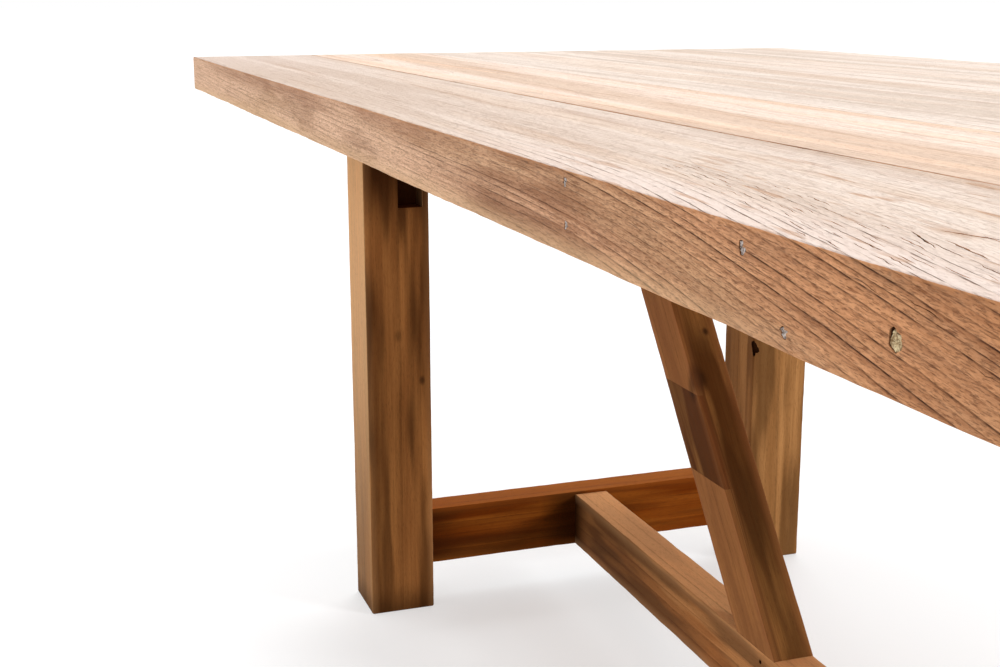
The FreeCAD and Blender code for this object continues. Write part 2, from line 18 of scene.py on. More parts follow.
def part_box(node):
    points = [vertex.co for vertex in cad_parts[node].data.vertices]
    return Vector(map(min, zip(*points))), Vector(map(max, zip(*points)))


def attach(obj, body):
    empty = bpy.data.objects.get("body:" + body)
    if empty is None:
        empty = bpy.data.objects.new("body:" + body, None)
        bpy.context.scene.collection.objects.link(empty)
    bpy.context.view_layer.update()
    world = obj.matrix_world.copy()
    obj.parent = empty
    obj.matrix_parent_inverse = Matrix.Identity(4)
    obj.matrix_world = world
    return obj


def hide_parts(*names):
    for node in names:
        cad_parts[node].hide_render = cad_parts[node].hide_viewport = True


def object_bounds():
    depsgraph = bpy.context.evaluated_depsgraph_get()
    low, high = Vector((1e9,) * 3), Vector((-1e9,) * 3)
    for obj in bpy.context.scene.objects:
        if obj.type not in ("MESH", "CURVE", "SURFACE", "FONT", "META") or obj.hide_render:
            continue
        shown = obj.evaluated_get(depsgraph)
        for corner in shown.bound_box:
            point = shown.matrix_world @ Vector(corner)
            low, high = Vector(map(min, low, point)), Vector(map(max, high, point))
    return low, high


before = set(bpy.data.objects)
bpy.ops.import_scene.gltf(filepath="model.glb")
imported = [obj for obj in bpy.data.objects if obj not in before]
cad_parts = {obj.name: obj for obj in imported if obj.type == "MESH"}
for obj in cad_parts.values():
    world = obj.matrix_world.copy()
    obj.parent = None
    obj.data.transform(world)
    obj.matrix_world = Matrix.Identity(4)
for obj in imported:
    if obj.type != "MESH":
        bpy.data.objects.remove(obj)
scene = bpy.context.scene
cad_box = [list(corner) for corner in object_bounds()]
print("loaded", len(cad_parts), "pieces, box", cad_box)

# %% [markdown]
# ## The camera
# The picture is taken from low over the near long side, so the top is seen at a grazing angle and
# the near edge comes towards us. We could turn the camera by hand until it looks right. Here the
# place and the three angles are worked out from the straight edges of the table, so we build the
# camera's axes from them and leave them alone.

# %% Set up the camera
CAMERA_PLACE = Vector((1.0425, -0.7951, 0.8547))
TURN, DIP, LEAN = (math.radians(angle) for angle in (19.257, 13.300, -0.093))
SENSOR_WIDTH, FOCAL_LENGTH = 36, 52.12
level = Vector((-math.cos(TURN), math.sin(TURN), 0))
beside = Vector((math.sin(TURN), math.cos(TURN), 0))
upright = Vector((0, 0, 1))
ahead = math.cos(DIP) * level - math.sin(DIP) * upright
over = math.sin(DIP) * level + math.cos(DIP) * upright
picture_right = math.cos(LEAN) * beside + math.sin(LEAN) * over
picture_up = math.cos(LEAN) * over - math.sin(LEAN) * beside
lens = bpy.data.cameras.new("camera")
lens.sensor_fit = "HORIZONTAL"
lens.sensor_width = SENSOR_WIDTH
lens.lens = FOCAL_LENGTH
lens.clip_start = 0.05
lens.clip_end = 300
camera = bpy.data.objects.new("camera", lens)
axes = Matrix((picture_right, picture_up, -ahead)).transposed()
camera.matrix_world = Matrix.Translation(CAMERA_PLACE) @ axes.to_4x4()
scene.collection.objects.link(camera)
scene.camera = camera
print("camera at", CAMERA_PLACE.to_tuple(3), "looking along", ahead.to_tuple(3))

# %% [markdown]
# ## A bench for node work
# Light and finishes are networks of nodes, and joining nodes one by one takes many lines. This small
# bench puts a node in the tree, sets or links its sockets, and hands back the output that we go on
# with. `step` is a soft threshold, `both` lets several masks hold at once, and `stain` lays a colour
# over wood where a mask allows it.


# %% The bench
class Bench:
    def __init__(self, tree):
        self.tree = tree

    def put(self, kind, sockets=None, out=0, **settings):
        node = self.tree.nodes.new("ShaderNode" + kind)
        for name, value in settings.items():
            setattr(node, name, value)
        for name, value in (sockets or {}).items():
            if isinstance(value, bpy.types.NodeSocket):
                self.tree.links.new(value, node.inputs[name])
            else:
                node.inputs[name].default_value = value
        return node.outputs[out]

    def stored(self, name, out="Fac"):
        return self.put("Attribute", out=out, attribute_name=name)

    def parts(self, vector):
        return self.put("SeparateXYZ", {0: vector}).node.outputs

    def calc(self, operation, *values):
        return self.put("Math", dict(enumerate(values)), operation=operation)

    def point(self, operation, *values):
        out = 1 if operation in ("LENGTH", "DOT_PRODUCT") else 0
        return self.put("VectorMath", dict(enumerate(values)), out, operation=operation)

    def step(self, value, low, high, start=0.0, end=1.0):
        range_ends = {"Value": value, "From Min": low, "From Max": high, "To Min": start, "To Max": end}
        return self.put("MapRange", range_ends, interpolation_type="SMOOTHSTEP")

    def both(self, mask, *others):
        for other in others:
            mask = self.calc("MULTIPLY", mask, other)
        return mask

    def noise(self, place, scale, detail=2.0, rough=0.5, out=0):
        stretched = self.point("MULTIPLY", place, scale)
        sockets = {"Vector": stretched, "Scale": 1.0, "Detail": detail, "Roughness": rough}
        return self.put("TexNoise", sockets, out)

    def blend(self, share, first, second):
        return self.put("Mix", {0: share, 6: first, 7: second}, 2, data_type="RGBA")

    def stain(self, wood, mask, strength, colour):
        return self.blend(self.calc("MULTIPLY", mask, strength), wood, colour)


# %% A new material on the bench
def new_finish(name):
    finish = bpy.data.materials.new(name)
    finish.use_nodes = True
    return finish, Bench(finish.node_tree), finish.node_tree.nodes["Principled BSDF"].inputs


# %% [markdown]
# ## The studio
# The table stands on a plain white floor in even light. A bright floor usually means a hard edge at
# the horizon, so the floor runs far out and glows a little, like the lit table of a photographer,
# which also keeps the shadow under the table light.

# %% Lay the studio floor
CORNERS = ((-1, -1), (1, -1), (1, 1), (-1, 1))
FLOOR_REACH, FLOOR_DROP = 80, 0.0004
WHITE = (1, 1, 1, 1)
floor_mesh = bpy.data.meshes.new("studio_floor")
floor_corners = [(x * FLOOR_REACH, y * FLOOR_REACH, -FLOOR_DROP) for x, y in CORNERS]
floor_mesh.from_pydata(floor_corners, [], [(0, 1, 2, 3)])
floor = bpy.data.objects.new("studio_floor", floor_mesh)
scene.collection.objects.link(floor)
floor_paint, _, floor_shader = new_finish("studio_white")
floor_shader["Base Color"].default_value = (0.44, 0.455, 0.465, 1)
floor_shader["Roughness"].default_value = 1
floor_shader["Specular IOR Level"].default_value = 0
floor_shader["Emission Color"].default_value = WHITE
floor_shader["Emission Strength"].default_value = 0.53
floor_mesh.materials.append(floor_paint)
print("floor laid,", 2 * FLOOR_REACH, "m across")

# %% [markdown]
# The walls of the studio are white to look at, but most of their light comes from the near left, so
# that the faces turned to us on the right stay dark. One background does both: what the camera sees
# directly is plain white, and what lights the table fades with direction.

# %% Hang the white walls
LIT_FROM = (-0.30, -0.90, 0.30)
world = bpy.data.worlds.new("studio_walls")
world.use_nodes = True
scene.world = world
walls = Bench(world.node_tree)
walls.tree.nodes.clear()
lit = walls.point("DOT_PRODUCT", walls.put("TexCoord", out="Generated"), LIT_FROM)
fading = {"Value": lit, "From Min": -0.7, "From Max": 0.9, "To Min": 0.0, "To Max": 0.85}
lighting = walls.put("Background", {"Color": WHITE, "Strength": walls.put("MapRange", fading)})
backdrop = walls.put("Background", {"Color": WHITE, "Strength": 1.0})
seen = walls.put("LightPath", out="Is Camera Ray")
either = walls.put("MixShader", {0: seen, 1: lighting, 2: backdrop})
walls_out = walls.tree.nodes.new("ShaderNodeOutputWorld")
walls.tree.links.new(either, walls_out.inputs["Surface"])
print("walls:", len(walls.tree.nodes), "nodes")

# %% [markdown]
# Three wide lamps do the rest: one overhead, which makes the top the brightest face, one from behind
# on the left, which lights the stretcher, and a low one from the far right. The low one reaches in
# under the top: it lights the rail and the far post, and the stretcher throws a slanted shadow on the
# rail. A sun lamp with a wide angle is as soft as a large cloth screen, and it lights the far floor
# as much as the near one.


# %% Hang three soft lamps
def soft_lamp(name, towards_lamp, strength, width):
    lamp = bpy.data.lights.new(name, "SUN")
    lamp.energy = strength * math.pi
    lamp.angle = math.radians(width)
    holder = bpy.data.objects.new(name, lamp)
    holder.rotation_euler = Vector(towards_lamp).to_track_quat("Z", "Y").to_euler()
    scene.collection.objects.link(holder)
    print("lamp", name, "strength", strength, "width", width)


soft_lamp("overhead_screen", (-0.12, 0.05, 1.0), 0.46, 75)
soft_lamp("back_screen", (-0.75, 0.55, 0.80), 0.50, 45)
soft_lamp("low_screen", (0.90, 1.0, 0.49), 0.60, 14)
scene.view_settings.view_transform = "Standard"
scene.view_settings.look = "None"

# %% [markdown]
# ## Wood that has been used
# No edge of an old plank is straight. We need a line that wanders the same way on every run: random
# heights on a fixed seed, joined by smooth slopes. Everything uneven below is made of such lines.

# %% A wandering line
HEIGHT_COUNT, FIRST_HEIGHT = 1024, 300


def smooth(share):
    return share * share * (3 - 2 * share)


def wander(along, pitch, seed):
    heights = np.random.default_rng(seed).uniform(-1, 1, HEIGHT_COUNT)
    place = np.asarray(along, float) / pitch + FIRST_HEIGHT
    before = np.floor(place).astype(int)
    share = smooth(place - before)
    return heights[before % HEIGHT_COUNT] * (1 - share) + heights[(before + 1) % HEIGHT_COUNT] * share


print("wander at 0, 5 and 10 mm:", wander([0, 0.005, 0.010], 0.02, 4).round(2))

# %% [markdown]
# ## One timber
# Every timber here is long, with a four-sided section and rounded arrises (the long edges). A cube
# with a bevel would have the same radius everywhere. Instead we draw the section as a ring of points
# at each of many stations along the length, and let the radius of each arris wander from station to
# station, which is how wear looks.

# %% The ring of a section
SIDES = ((1, 0), (0, 1), (-1, 0), (0, -1))
ARC_STEPS = 5


def section_rings(half, radius, counts):
    points = []
    for side in range(4):
        last = (side + 1) % 4
        step = np.array(SIDES[side])
        inwards = np.array(SIDES[last])
        start = half * CORNERS[side] + step * radius[:, [side]]
        end = half * CORNERS[last] - step * radius[:, [last]]
        points += [start + (end - start) * share for share in np.linspace(0, 1, counts[side % 2] + 1)]
        middle = end + inwards * radius[:, [last]]
        for angle in np.linspace(0, math.pi / 2, ARC_STEPS + 1)[1:-1]:
            points.append(middle + radius[:, [last]] * (step * math.sin(angle) - inwards * math.cos(angle)))
    return np.stack(points, axis=1)


sample = section_rings(np.ones((1, 2)), np.full((1, 4), 0.1), (8, 3))
print("a section of 8 by 3 fields has", sample.shape[1], "points")

# %% [markdown]
# `lie` is a matrix that lays the timber down in the table: its first column points along the grain,
# the other two span the section, and the last is the middle. For a brace the first column leans, and
# the section stays level.


# %% Turn a stack of rings into a mesh
def mesh_piece(name, stack, lie):
    count, size = stack.shape[:2]
    number = np.arange(count * size).reshape(count, size)
    beyond = np.roll(number, -1, axis=1)
    quads = np.stack([number[:-1], beyond[:-1], beyond[1:], number[1:]], axis=2).reshape(-1, 4).tolist()
    ends = [number[0][::-1].tolist(), number[-1].tolist()]
    turned = np.array(lie)
    points = stack.reshape(-1, 3) @ turned[:3, :3].T + turned[:3, 3]
    mesh = bpy.data.meshes.new(name)
    mesh.from_pydata(points.tolist(), [], quads + ends)
    piece = bpy.data.objects.new(name, mesh)
    scene.collection.objects.link(piece)
    return piece


def lay(along, across, upwards, middle):
    turned = Matrix((along, across, upwards)).transposed().to_4x4()
    return turned + Matrix.Translation(middle) - Matrix.Identity(4)


def spread(low, high, pitch):
    return np.linspace(low, high, max(2, round((high - low) / pitch)) + 1)


print("stations of a post:", len(spread(0, 0.674, 0.008)))

# %% [markdown]
# An arris wears in long and short waves, with a nick here and there, and each flat face dips a little,
# as a hand-planed face does.

# %% How an arris wears and a face dips
WEAR = 0.35
LONG_WAVE, SHORT_WAVE = 0.07, 0.013
NICK_WAVE, NICK_FROM = 0.028, 0.72
LONG_DIP, SHORT_DIP = 0.16, 0.05


def worn_radius(along, easing, seed):
    worn = []
    for arris in range(4):
        waves = wander(along, LONG_WAVE, seed + arris) + 0.6 * wander(along, SHORT_WAVE, seed + 10 + arris)
        nicks = np.maximum(0, wander(along, NICK_WAVE, seed + 20 + arris) - NICK_FROM) * 4 * WEAR
        worn.append(1 + WEAR * waves + nicks)
    return np.broadcast_to(easing, 4) * np.clip(np.array(worn), 0.3, 3).T


def face_dip(run, aside, seed):
    broad = wander(run + 2 * aside, LONG_DIP, seed)
    return 0.5 + 0.3 * broad + 0.2 * wander(run - aside, SHORT_DIP, seed + 1)


print("an arris of 2 mm wears to", (1000 * worn_radius(np.zeros(1), 0.002, 1)).round(2), "mm")

# %% [markdown]
# The rings are joined station by station, and the ends are rounded the same way. Wear only takes wood
# away, so the timber stays inside the box of its CAD solid. We keep each timber together with its
# place, its section and an offset along the grain, which the finishes need later.

# %% Join the rings to a timber
END_STEPS = 4
CAP_RINGS = np.array([0.15, 0.5, 0.85])
timbers = {}


def timber(name, lie, half, stations, easing, dip=0.0003, field=0.012, end_round=0.002, seed=1):
    half = np.array(half)
    bend = np.linspace(0, math.pi / 2, END_STEPS)
    ease = end_round * (1 - np.cos(bend))
    inner = stations[(stations > stations[0] + end_round) & (stations < stations[-1] - end_round)]
    along = np.concatenate([stations[0] + ease, inner, (stations[-1] - ease)[::-1]])
    inset = np.zeros(len(along))
    inset[:END_STEPS] = end_round * (1 - np.sin(bend))
    inset[-END_STEPS:] = inset[:END_STEPS][::-1]
    counts = [max(2, round(2 * size / field)) for size in half]
    rings = section_rings(half - inset[:, None], worn_radius(along, easing, seed), counts)
    across, upwards = rings[..., 0].copy(), rings[..., 1].copy()
    run = along[:, None] + 0 * across
    rings[..., 0] -= dip * face_dip(run, upwards, seed + 40) * (across / half[0]) ** 5
    rings[..., 1] -= dip * face_dip(run, across, seed + 42) * (upwards / half[1]) ** 5
    local = np.concatenate([run[..., None], rings], axis=2)
    caps = CAP_RINGS[:, None, None]
    first = np.concatenate([np.repeat(run[:1, :, None], len(caps), 0), caps * rings[:1]], axis=2)
    final = np.concatenate([np.repeat(run[-1:, :, None], len(caps), 0), caps[::-1] * rings[-1:]], axis=2)
    return mesh_piece(name, np.concatenate([first, local, final]), lie)


def add_timber(node, lie, half, offset, stations, easing, **shape):
    piece = timber(f"{node}_worn", lie, half, stations, easing, **shape)
    timbers[node] = SimpleNamespace(piece=piece, lie=lie, half=half, offset=offset)
    print(piece.name, "has", len(piece.data.polygons), "faces")


# %% [markdown]
# ## The planks of the top
# Six planks run the whole length. Their outer arrises are worn round, and where two planks meet the
# arrises are only eased, so the seams stay fine lines. The near arris, where the sander stopped, is
# crisp. We take each plank's place from its CAD box, put the stations closer together where the
# camera is near, and let some planks lie a hair lower than their neighbours.

# %% Six planks
LENGTHWAYS = ((1, 0, 0), (0, 1, 0), (0, 0, 1))
PLANK_DROPS = (0.0003, 0.0, 0.0002, 0.0004, 0.0005, 0.0007)
OUTER_ARRIS, SEAM_ARRIS, CRISP_ARRIS = 0.0026, 0.0006, 0.0013
PLANK_OFFSET, PLANK_DIP = 7.3, 0.00025
CLOSE_FROM, CLOSE_TO = -0.2, 0.9
FAR_PITCH, CLOSE_PITCH = 0.010, 0.004
plank_end = round(cad_box[1][0], 6)
plank_stations = np.concatenate([
    spread(-plank_end, CLOSE_FROM, FAR_PITCH),
    spread(CLOSE_FROM, CLOSE_TO, CLOSE_PITCH)[1:],
    spread(CLOSE_TO, plank_end, FAR_PITCH)[1:],
])
for number, drop in enumerate(PLANK_DROPS, start=1):
    node = f"top_plank_{number}"
    low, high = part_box(node)
    middle = (low + high) / 2 - Vector((0, 0, drop / 2))
    half = (high.y - low.y) / 2, (high.z - low.z - drop) / 2
    near = OUTER_ARRIS if number == 1 else SEAM_ARRIS
    far = OUTER_ARRIS if number == len(PLANK_DROPS) else SEAM_ARRIS
    easing = near, far, far, CRISP_ARRIS if number == 1 else near
    lie = lay(*LENGTHWAYS, middle)
    offset = PLANK_OFFSET * (number - 1)
    add_timber(node, lie, half, offset, plank_stations, easing, dip=PLANK_DIP, seed=50 * number)

# %% [markdown]
# ## Posts, rails, stretcher and braces
# The base is squared timber, 90 mm for the posts and lighter for the rest. Each one ends just inside
# its neighbour, where the CAD solid has its tenon, so no light shows at the shoulders.

# %% Four posts
UPRIGHT = ((0, 0, 1), (1, 0, 0), (0, 1, 0))
POST_EASING, POST_PITCH = 0.0024, 0.005
POST_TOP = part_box("bearer_left")[0].z
POSTS = {"post_front_left": 40.0, "post_back_left": 43.1, "post_front_right": 46.3, "post_back_right": 49.9}
stations = spread(0, POST_TOP, POST_PITCH)
for order, (node, offset) in enumerate(POSTS.items()):
    low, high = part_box(node)
    half = (high.x - low.x) / 2, (high.y - low.y) / 2
    lie = lay(*UPRIGHT, ((low.x + high.x) / 2, (low.y + high.y) / 2, 0))
    add_timber(node, lie, half, offset, stations, POST_EASING, field=0.009, seed=400 + 50 * order)
print("posts stand", round(POST_TOP, 3), "m high under the bearers")

# %% Two cross rails and the long stretcher
ACROSS = ((0, 1, 0), (0, 0, 1), (1, 0, 0))
RAIL_EASING, RAIL_PITCH = 0.0022, 0.006
SHOULDER, BUTT_ROUND = 0.0015, 0.0003
post_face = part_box("post_back_left")[0].y
stations = spread(-post_face - SHOULDER, post_face + SHOULDER, RAIL_PITCH)
for order, node in enumerate(("cross_rail_left", "cross_rail_right")):
    low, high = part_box(node)
    half = (high.z - low.z) / 2, (high.x - low.x) / 2
    lie = lay(*ACROSS, (low + high) / 2)
    offset = 60.0 + 4.7 * order
    add_timber(node, lie, half, offset, stations, RAIL_EASING, end_round=BUTT_ROUND, seed=700 + 50 * order)
low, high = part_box("long_stretcher")
half = (high.y - low.y) / 2, (high.z - low.z) / 2
lie = lay(*LENGTHWAYS, (low + high) / 2)
rail_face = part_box("cross_rail_right")[0].x
stations = spread(-rail_face - SHOULDER, rail_face + SHOULDER, RAIL_PITCH)
add_timber("long_stretcher", lie, half, 72.5, stations, RAIL_EASING, end_round=BUTT_ROUND, seed=820)
print("rails reach", round(post_face, 3), "m each way, the stretcher", round(rail_face, 3))

# %% Two braces
BRACE_OFFSET, BRACE_SPACING = 80.0, 8.0
LEVEL_CUT = 0.0896
brace_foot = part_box("long_stretcher")[1].z
brace_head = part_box("top_plank_3")[0].z
low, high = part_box("brace_right")
foot_x = low.x + LEVEL_CUT / 2
head_x = high.x - LEVEL_CUT / 2
half = LEVEL_CUT / 2, high.y
for order, (node, way) in enumerate((("brace_left", -1), ("brace_right", 1))):
    slope = Vector((way * (head_x - foot_x), 0, brace_head - brace_foot))
    lie = lay(slope.normalized(), (1, 0, 0), (0, 1, 0), (way * foot_x, 0, brace_foot))
    stations = spread(-SHOULDER, slope.length, RAIL_PITCH)
    offset = BRACE_OFFSET + BRACE_SPACING * order
    add_timber(node, lie, half, offset, stations, POST_EASING, end_round=BUTT_ROUND, seed=900 + 50 * order)
print("braces are", round(slope.length, 3), "m long")

# %% [markdown]
# ## Scars
# Reclaimed timber keeps the marks of its first life: an old mortise near the head of the near left
# post, a nail hole in the stretcher, broken nails and a filled hole in the near edge of the top. These
# are real hollows, so we cut them. A hole in wood isn't round, so its cutter is a peg with a ragged
# outline.

# %% A ragged peg
PEG_PITCH = 0.0012


def peg(name, lie, radius, low, high, ragged=0.12, broken=0.0, seed=1, points=20):
    dice = np.random.default_rng(seed)
    angle = np.linspace(0, 2 * math.pi, points, endpoint=False)
    caps = len(CAP_RINGS)
    rows = np.concatenate([[low] * caps, spread(low, high, PEG_PITCH), [high] * caps])
    reach = np.concatenate([CAP_RINGS, np.ones(len(rows) - 2 * caps), CAP_RINGS[::-1]])
    waves = np.zeros(points)
    for wave in range(2, 7):
        waves += ragged / wave * math.sqrt(wave) * np.cos(wave * angle + dice.uniform(0, 6.3))
    uneven = 1 + 0.3 * ragged * dice.uniform(-1, 1, (len(rows), points))
    distance = radius * reach[:, None] * (1 + waves) * uneven
    depth = rows[:, None] - broken * dice.uniform(0, 1, (len(rows), points)) * (rows[:, None] >= high)
    stack = np.stack([depth, distance * np.cos(angle), distance * np.sin(angle)], axis=2)
    return mesh_piece(name, stack, lie)


# %% Cut with a tool and throw the tool away
def cut(piece, tool):
    step = piece.modifiers.new("cut", "BOOLEAN")
    step.operation = "DIFFERENCE"
    step.solver = "EXACT"
    step.object = tool
    before = piece.data
    piece.data = bpy.data.meshes.new_from_object(piece.evaluated_get(bpy.context.evaluated_depsgraph_get()))
    piece.modifiers.clear()
    bpy.data.meshes.remove(before)
    bpy.data.meshes.remove(tool.data)
    print("cut", piece.name, "to", len(piece.data.polygons), "faces")


# %% Old mortise in the near left post, nail hole in the stretcher
INTO_NEAR_SIDE = ((0, -1, 0), (1, 0, 0), (0, 0, 1))
MORTISE_Y, MORTISE_Z = -0.276, 0.604
MORTISE_HALF, MORTISE_DEPTH, MORTISE_EASING = (0.017, 0.030), 0.030, 0.0015
NAIL_HOLE_X, NAIL_HOLE_Z, NAIL_HOLE_RADIUS = -0.277, 0.120, 0.0026
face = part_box("post_front_left")[1].x
there = lay(*LENGTHWAYS, (face, MORTISE_Y, MORTISE_Z))
stations = spread(-MORTISE_DEPTH, 0.004, 0.004)
tool = timber("tool", there, MORTISE_HALF, stations, MORTISE_EASING, field=0.006, seed=31)
cut(timbers["post_front_left"].piece, tool)
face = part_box("long_stretcher")[0].y
there = lay(*INTO_NEAR_SIDE, (NAIL_HOLE_X, face, NAIL_HOLE_Z))
cut(timbers["long_stretcher"].piece, peg("tool", there, NAIL_HOLE_RADIUS, -0.012, 0.002, seed=5))

# %% [markdown]
# The far left post has lost a knot at its inner arris. The same peg makes the hollow: it comes in over
# the arris, and stretching its last column makes the outline taller than wide, as a knot is in a post.

# %% Lost knot in the far left post
KNOT_Z, KNOT_RADIUS, KNOT_STRETCH = 0.337, 0.0052, 2.2
ASLANT = 0.7071
low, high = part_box("post_back_left")
over_arris = lay((ASLANT, -ASLANT, 0), (ASLANT, ASLANT, 0), (0, 0, KNOT_STRETCH), (high.x, low.y, KNOT_Z))
tool = peg("tool", over_arris, KNOT_RADIUS, -0.010, 0.004, ragged=0.2, seed=12)
cut(timbers["post_back_left"].piece, tool)

# %% [markdown]
# ## Broken nails and a filled hole
# Four nails were snapped off in the near edge, and one hole is stopped with straw-coloured filling
# that has shrunk from its rim. Each sits in a hollow a little wider than itself, with its broken face
# just under the surface.

# %% Nails, filling and their hollows
edge_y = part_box("top_plank_1")[0].y
NAILS = ((0.507, 0.749), (0.544, 0.7205), (0.306, 0.753), (0.308, 0.729))
NAIL_HEIGHTS = (1.0, 0.75, 0.8, 0.7)
NAIL_HOLLOW, NAIL_RADIUS = 0.0029, 0.0026
FILLED_HOLE = 0.620, 0.7345
FILLED_HOLLOW, FILLING_RADIUS = 0.0043, 0.0038
SUNK = -0.0001
SCARS = NAILS + (FILLED_HOLE,)
near_plank = timbers["top_plank_1"].piece
nails = []
for order, (x, z) in enumerate(NAILS):
    there = lay((0, -1, 0), (1, 0, 0), (0, 0, NAIL_HEIGHTS[order]), (x, edge_y, z))
    cut(near_plank, peg("tool", there, NAIL_HOLLOW, -0.004, 0.002, ragged=0.3, seed=60 + order))
    nails.append(peg("nail", there, NAIL_RADIUS, -0.008, SUNK, ragged=0.3, broken=0.0008, seed=60 + order))
x, z = FILLED_HOLE
there = lay(*INTO_NEAR_SIDE, (x, edge_y, z))
cut(near_plank, peg("tool", there, FILLED_HOLLOW, -0.006, 0.002, seed=83, points=28))
there = lay(*INTO_NEAR_SIDE, (x + 0.0003, edge_y, z - 0.0005))
filling = peg("edge_plug_filling", there, FILLING_RADIUS, -0.009, SUNK, broken=0.0012, seed=83, points=28)


# %% Join the nails to one piece
def joined(name, parts):
    with bpy.context.temp_override(active_object=parts[0], selected_editable_objects=parts):
        bpy.ops.object.join()
    parts[0].name = name
    return parts[0]


nail_stubs = joined("nail_stubs_broken", nails)
print(nail_stubs.name, len(nail_stubs.data.polygons), "faces;", filling.name, len(filling.data.polygons))

# %% [markdown]
# ## Open cracks
# Beside an old branch the grain of the near plank swerves towards the near right corner, and there the
# wood has opened along it. A dark line in the finish would do from far off, but this corner is close
# to the camera, so the widest cracks are cut: thin spindles, pointed at both ends, that follow the
# slope of the grain. First we write down how the grain swerves, because the finish of this plank needs
# the same numbers.

# %% How the grain of the near plank swerves
SWERVE_FROM, SWERVE_TO = 0.22, 1.12
SWERVE_Y, SWERVE_Z = 0.060, 0.050
SLANT_Y, SLANT_Z = 0.012, 0.013
RING_TILT = 1.75


def grain_drop(x):
    bow = smooth(np.clip((np.asarray(x) - SWERVE_FROM) / (SWERVE_TO - SWERVE_FROM), 0, 1))
    return SLANT_Y * x + SWERVE_Y * bow + RING_TILT * (SLANT_Z * x + SWERVE_Z * bow)


def along_grain(start, tilt):
    return lambda x: start - grain_drop(x) / tilt


print("over the last third the grain drops", round(float(grain_drop(0.9) - grain_drop(0.5)), 3), "m")

# %% One crack as a thin spindle
top_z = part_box("top_plank_1")[1].z - PLANK_DROPS[0]
CRACK_PITCH, ABOVE = 0.003, 0.001


def crack(x_start, length, line_at, width, depth, on_top, seed):
    share = np.linspace(0, 1, max(6, round(length / CRACK_PITCH)) + 1)
    x = x_start + length * share
    line = line_at(x) + 0.0005 * wander(x, 0.005, seed) + 0.0002 * wander(x, 0.0017, seed + 1)
    taper = np.sqrt(np.sin(math.pi * np.clip(share, 0.01, 0.99))) * (1 + 0.35 * wander(x, 0.004, seed + 2))
    side = width / 2 * taper
    if on_top:
        rim = np.full(len(x), top_z + ABOVE)
        ring = [(x, line, top_z - depth * taper), (x, line + side, rim), (x, line - side, rim)]
    else:
        rim = np.full(len(x), edge_y - ABOVE)
        ring = [(x, edge_y + depth * taper, line), (x, rim, line + side), (x, rim, line - side)]
    stack = np.stack([np.stack(corner, axis=1) for corner in ring], axis=1)
    return mesh_piece("crack", stack, Matrix.Identity(4))


# %% [markdown]
# The cracks lie in rows, each row one step further from the near arris, and the dice say how long and
# how wide each one is. A boolean fails when parts of its tool overlap, and cracks of neighbouring rows
# may touch. So the rows go by turns into two sets, and each set is cut on its own.

# %% Rows of cracks on the top
ROW_STEP, GRAIN_AT, SEEDS = 0.0046, 0.56, 9999
TOP_ROWS, TOP_FROM, TOP_TO, TOP_DEPTH = 17, 0.26, 0.88, 0.0026
EYE_X, EYE_Y = 0.551, -0.4335
dice = np.random.default_rng(17)
tools = [[], []]
for row in range(TOP_ROWS):
    x = TOP_FROM + dice.uniform(0, 0.06) + 0.008 * row
    while x < TOP_TO:
        length = dice.uniform(0.010, 0.040)
        start = edge_y + 0.004 + ROW_STEP * row + grain_drop(GRAIN_AT) + dice.uniform(-0.0008, 0.0008)
        line = along_grain(start, 1.0)
        inside = edge_y + 0.003 < line(x + length) and line(x) < edge_y + 0.078
        clear = abs(line(EYE_X) - EYE_Y) > 0.012 or abs(x - EYE_X) > 0.060
        if inside and clear and dice.uniform() < 0.95 - 0.030 * row:
            width = dice.uniform(0.0005, 0.0011)
            seed = int(dice.integers(SEEDS))
            tools[row % 2].append(crack(x, length, line, width, TOP_DEPTH, True, seed))
        x += length + dice.uniform(0.004, 0.026)
print([len(group) for group in tools], "cracks on the top")

# %% Rows of cracks on the near edge, kept clear of the nails
EDGE_ROWS, EDGE_FROM, EDGE_TO, EDGE_DEPTH = 12, 0.22, 0.95, 0.0022
LOWEST = 0.716
for row in range(EDGE_ROWS):
    x = EDGE_FROM + dice.uniform(0, 0.15)
    while x < EDGE_TO:
        length = dice.uniform(0.015, 0.060)
        start = LOWEST + ROW_STEP * row + grain_drop(GRAIN_AT) / RING_TILT + dice.uniform(-0.001, 0.001)
        line = along_grain(start, RING_TILT)
        inside = LOWEST < line(x + length) and line(x) < top_z - 0.004
        clear = all(abs(x - scar) > 0.075 or abs(line(scar) - height) > 0.008 for scar, height in SCARS)
        if inside and clear and dice.uniform() < 0.5:
            width = dice.uniform(0.0003, 0.0007)
            seed = int(dice.integers(SEEDS))
            tools[row % 2].append(crack(x, length, line, width, EDGE_DEPTH, False, seed))
        x += length + dice.uniform(0.010, 0.060)
print([len(group) for group in tools], "cracks with those of the edge")

# %% [markdown]
# Where the branch left the plank, three wider cracks fan out from an eye. They cross each other, so
# they are cut one by one. Each has a start, a length, a straight slope and a width.

# %% Cut the rows, then the fan at the eye
EYE_FAN = (
    (EYE_X, 0.030, EYE_Y, 0.30, 0.0026),
    (0.571, 0.043, -0.4455, -0.26, 0.0018),
    (0.548, 0.038, -0.4455, -0.39, 0.0016),
)
FAN_DEPTH, FAN_SEED = 0.0032, 7


def straight(x, y, slope):
    return lambda place: y + slope * (place - x)


for group in tools:
    cut(near_plank, joined("cracks", group))
for x, length, y, slope, width in EYE_FAN:
    cut(near_plank, crack(x, length, straight(x, y, slope), width, FAN_DEPTH, True, FAN_SEED))
EYE_PLACE = EYE_X + 0.006, EYE_Y + 0.002 - timbers["top_plank_1"].lie.translation.y, 0
print("the eye of the crack lies at", [round(v, 3) for v in EYE_PLACE], "in the plank")

# %% [markdown]
# ## Marks for the grain
# Grain runs along a timber, whichever way the timber lies. So we store with every point where it is in
# its own timber (along, across, up), how near it is to an arris, and whether it lies inside a hole or
# crack. The finishes read these marks. Each timber also gets its own offset along the grain, as if it
# came from another part of the tree.

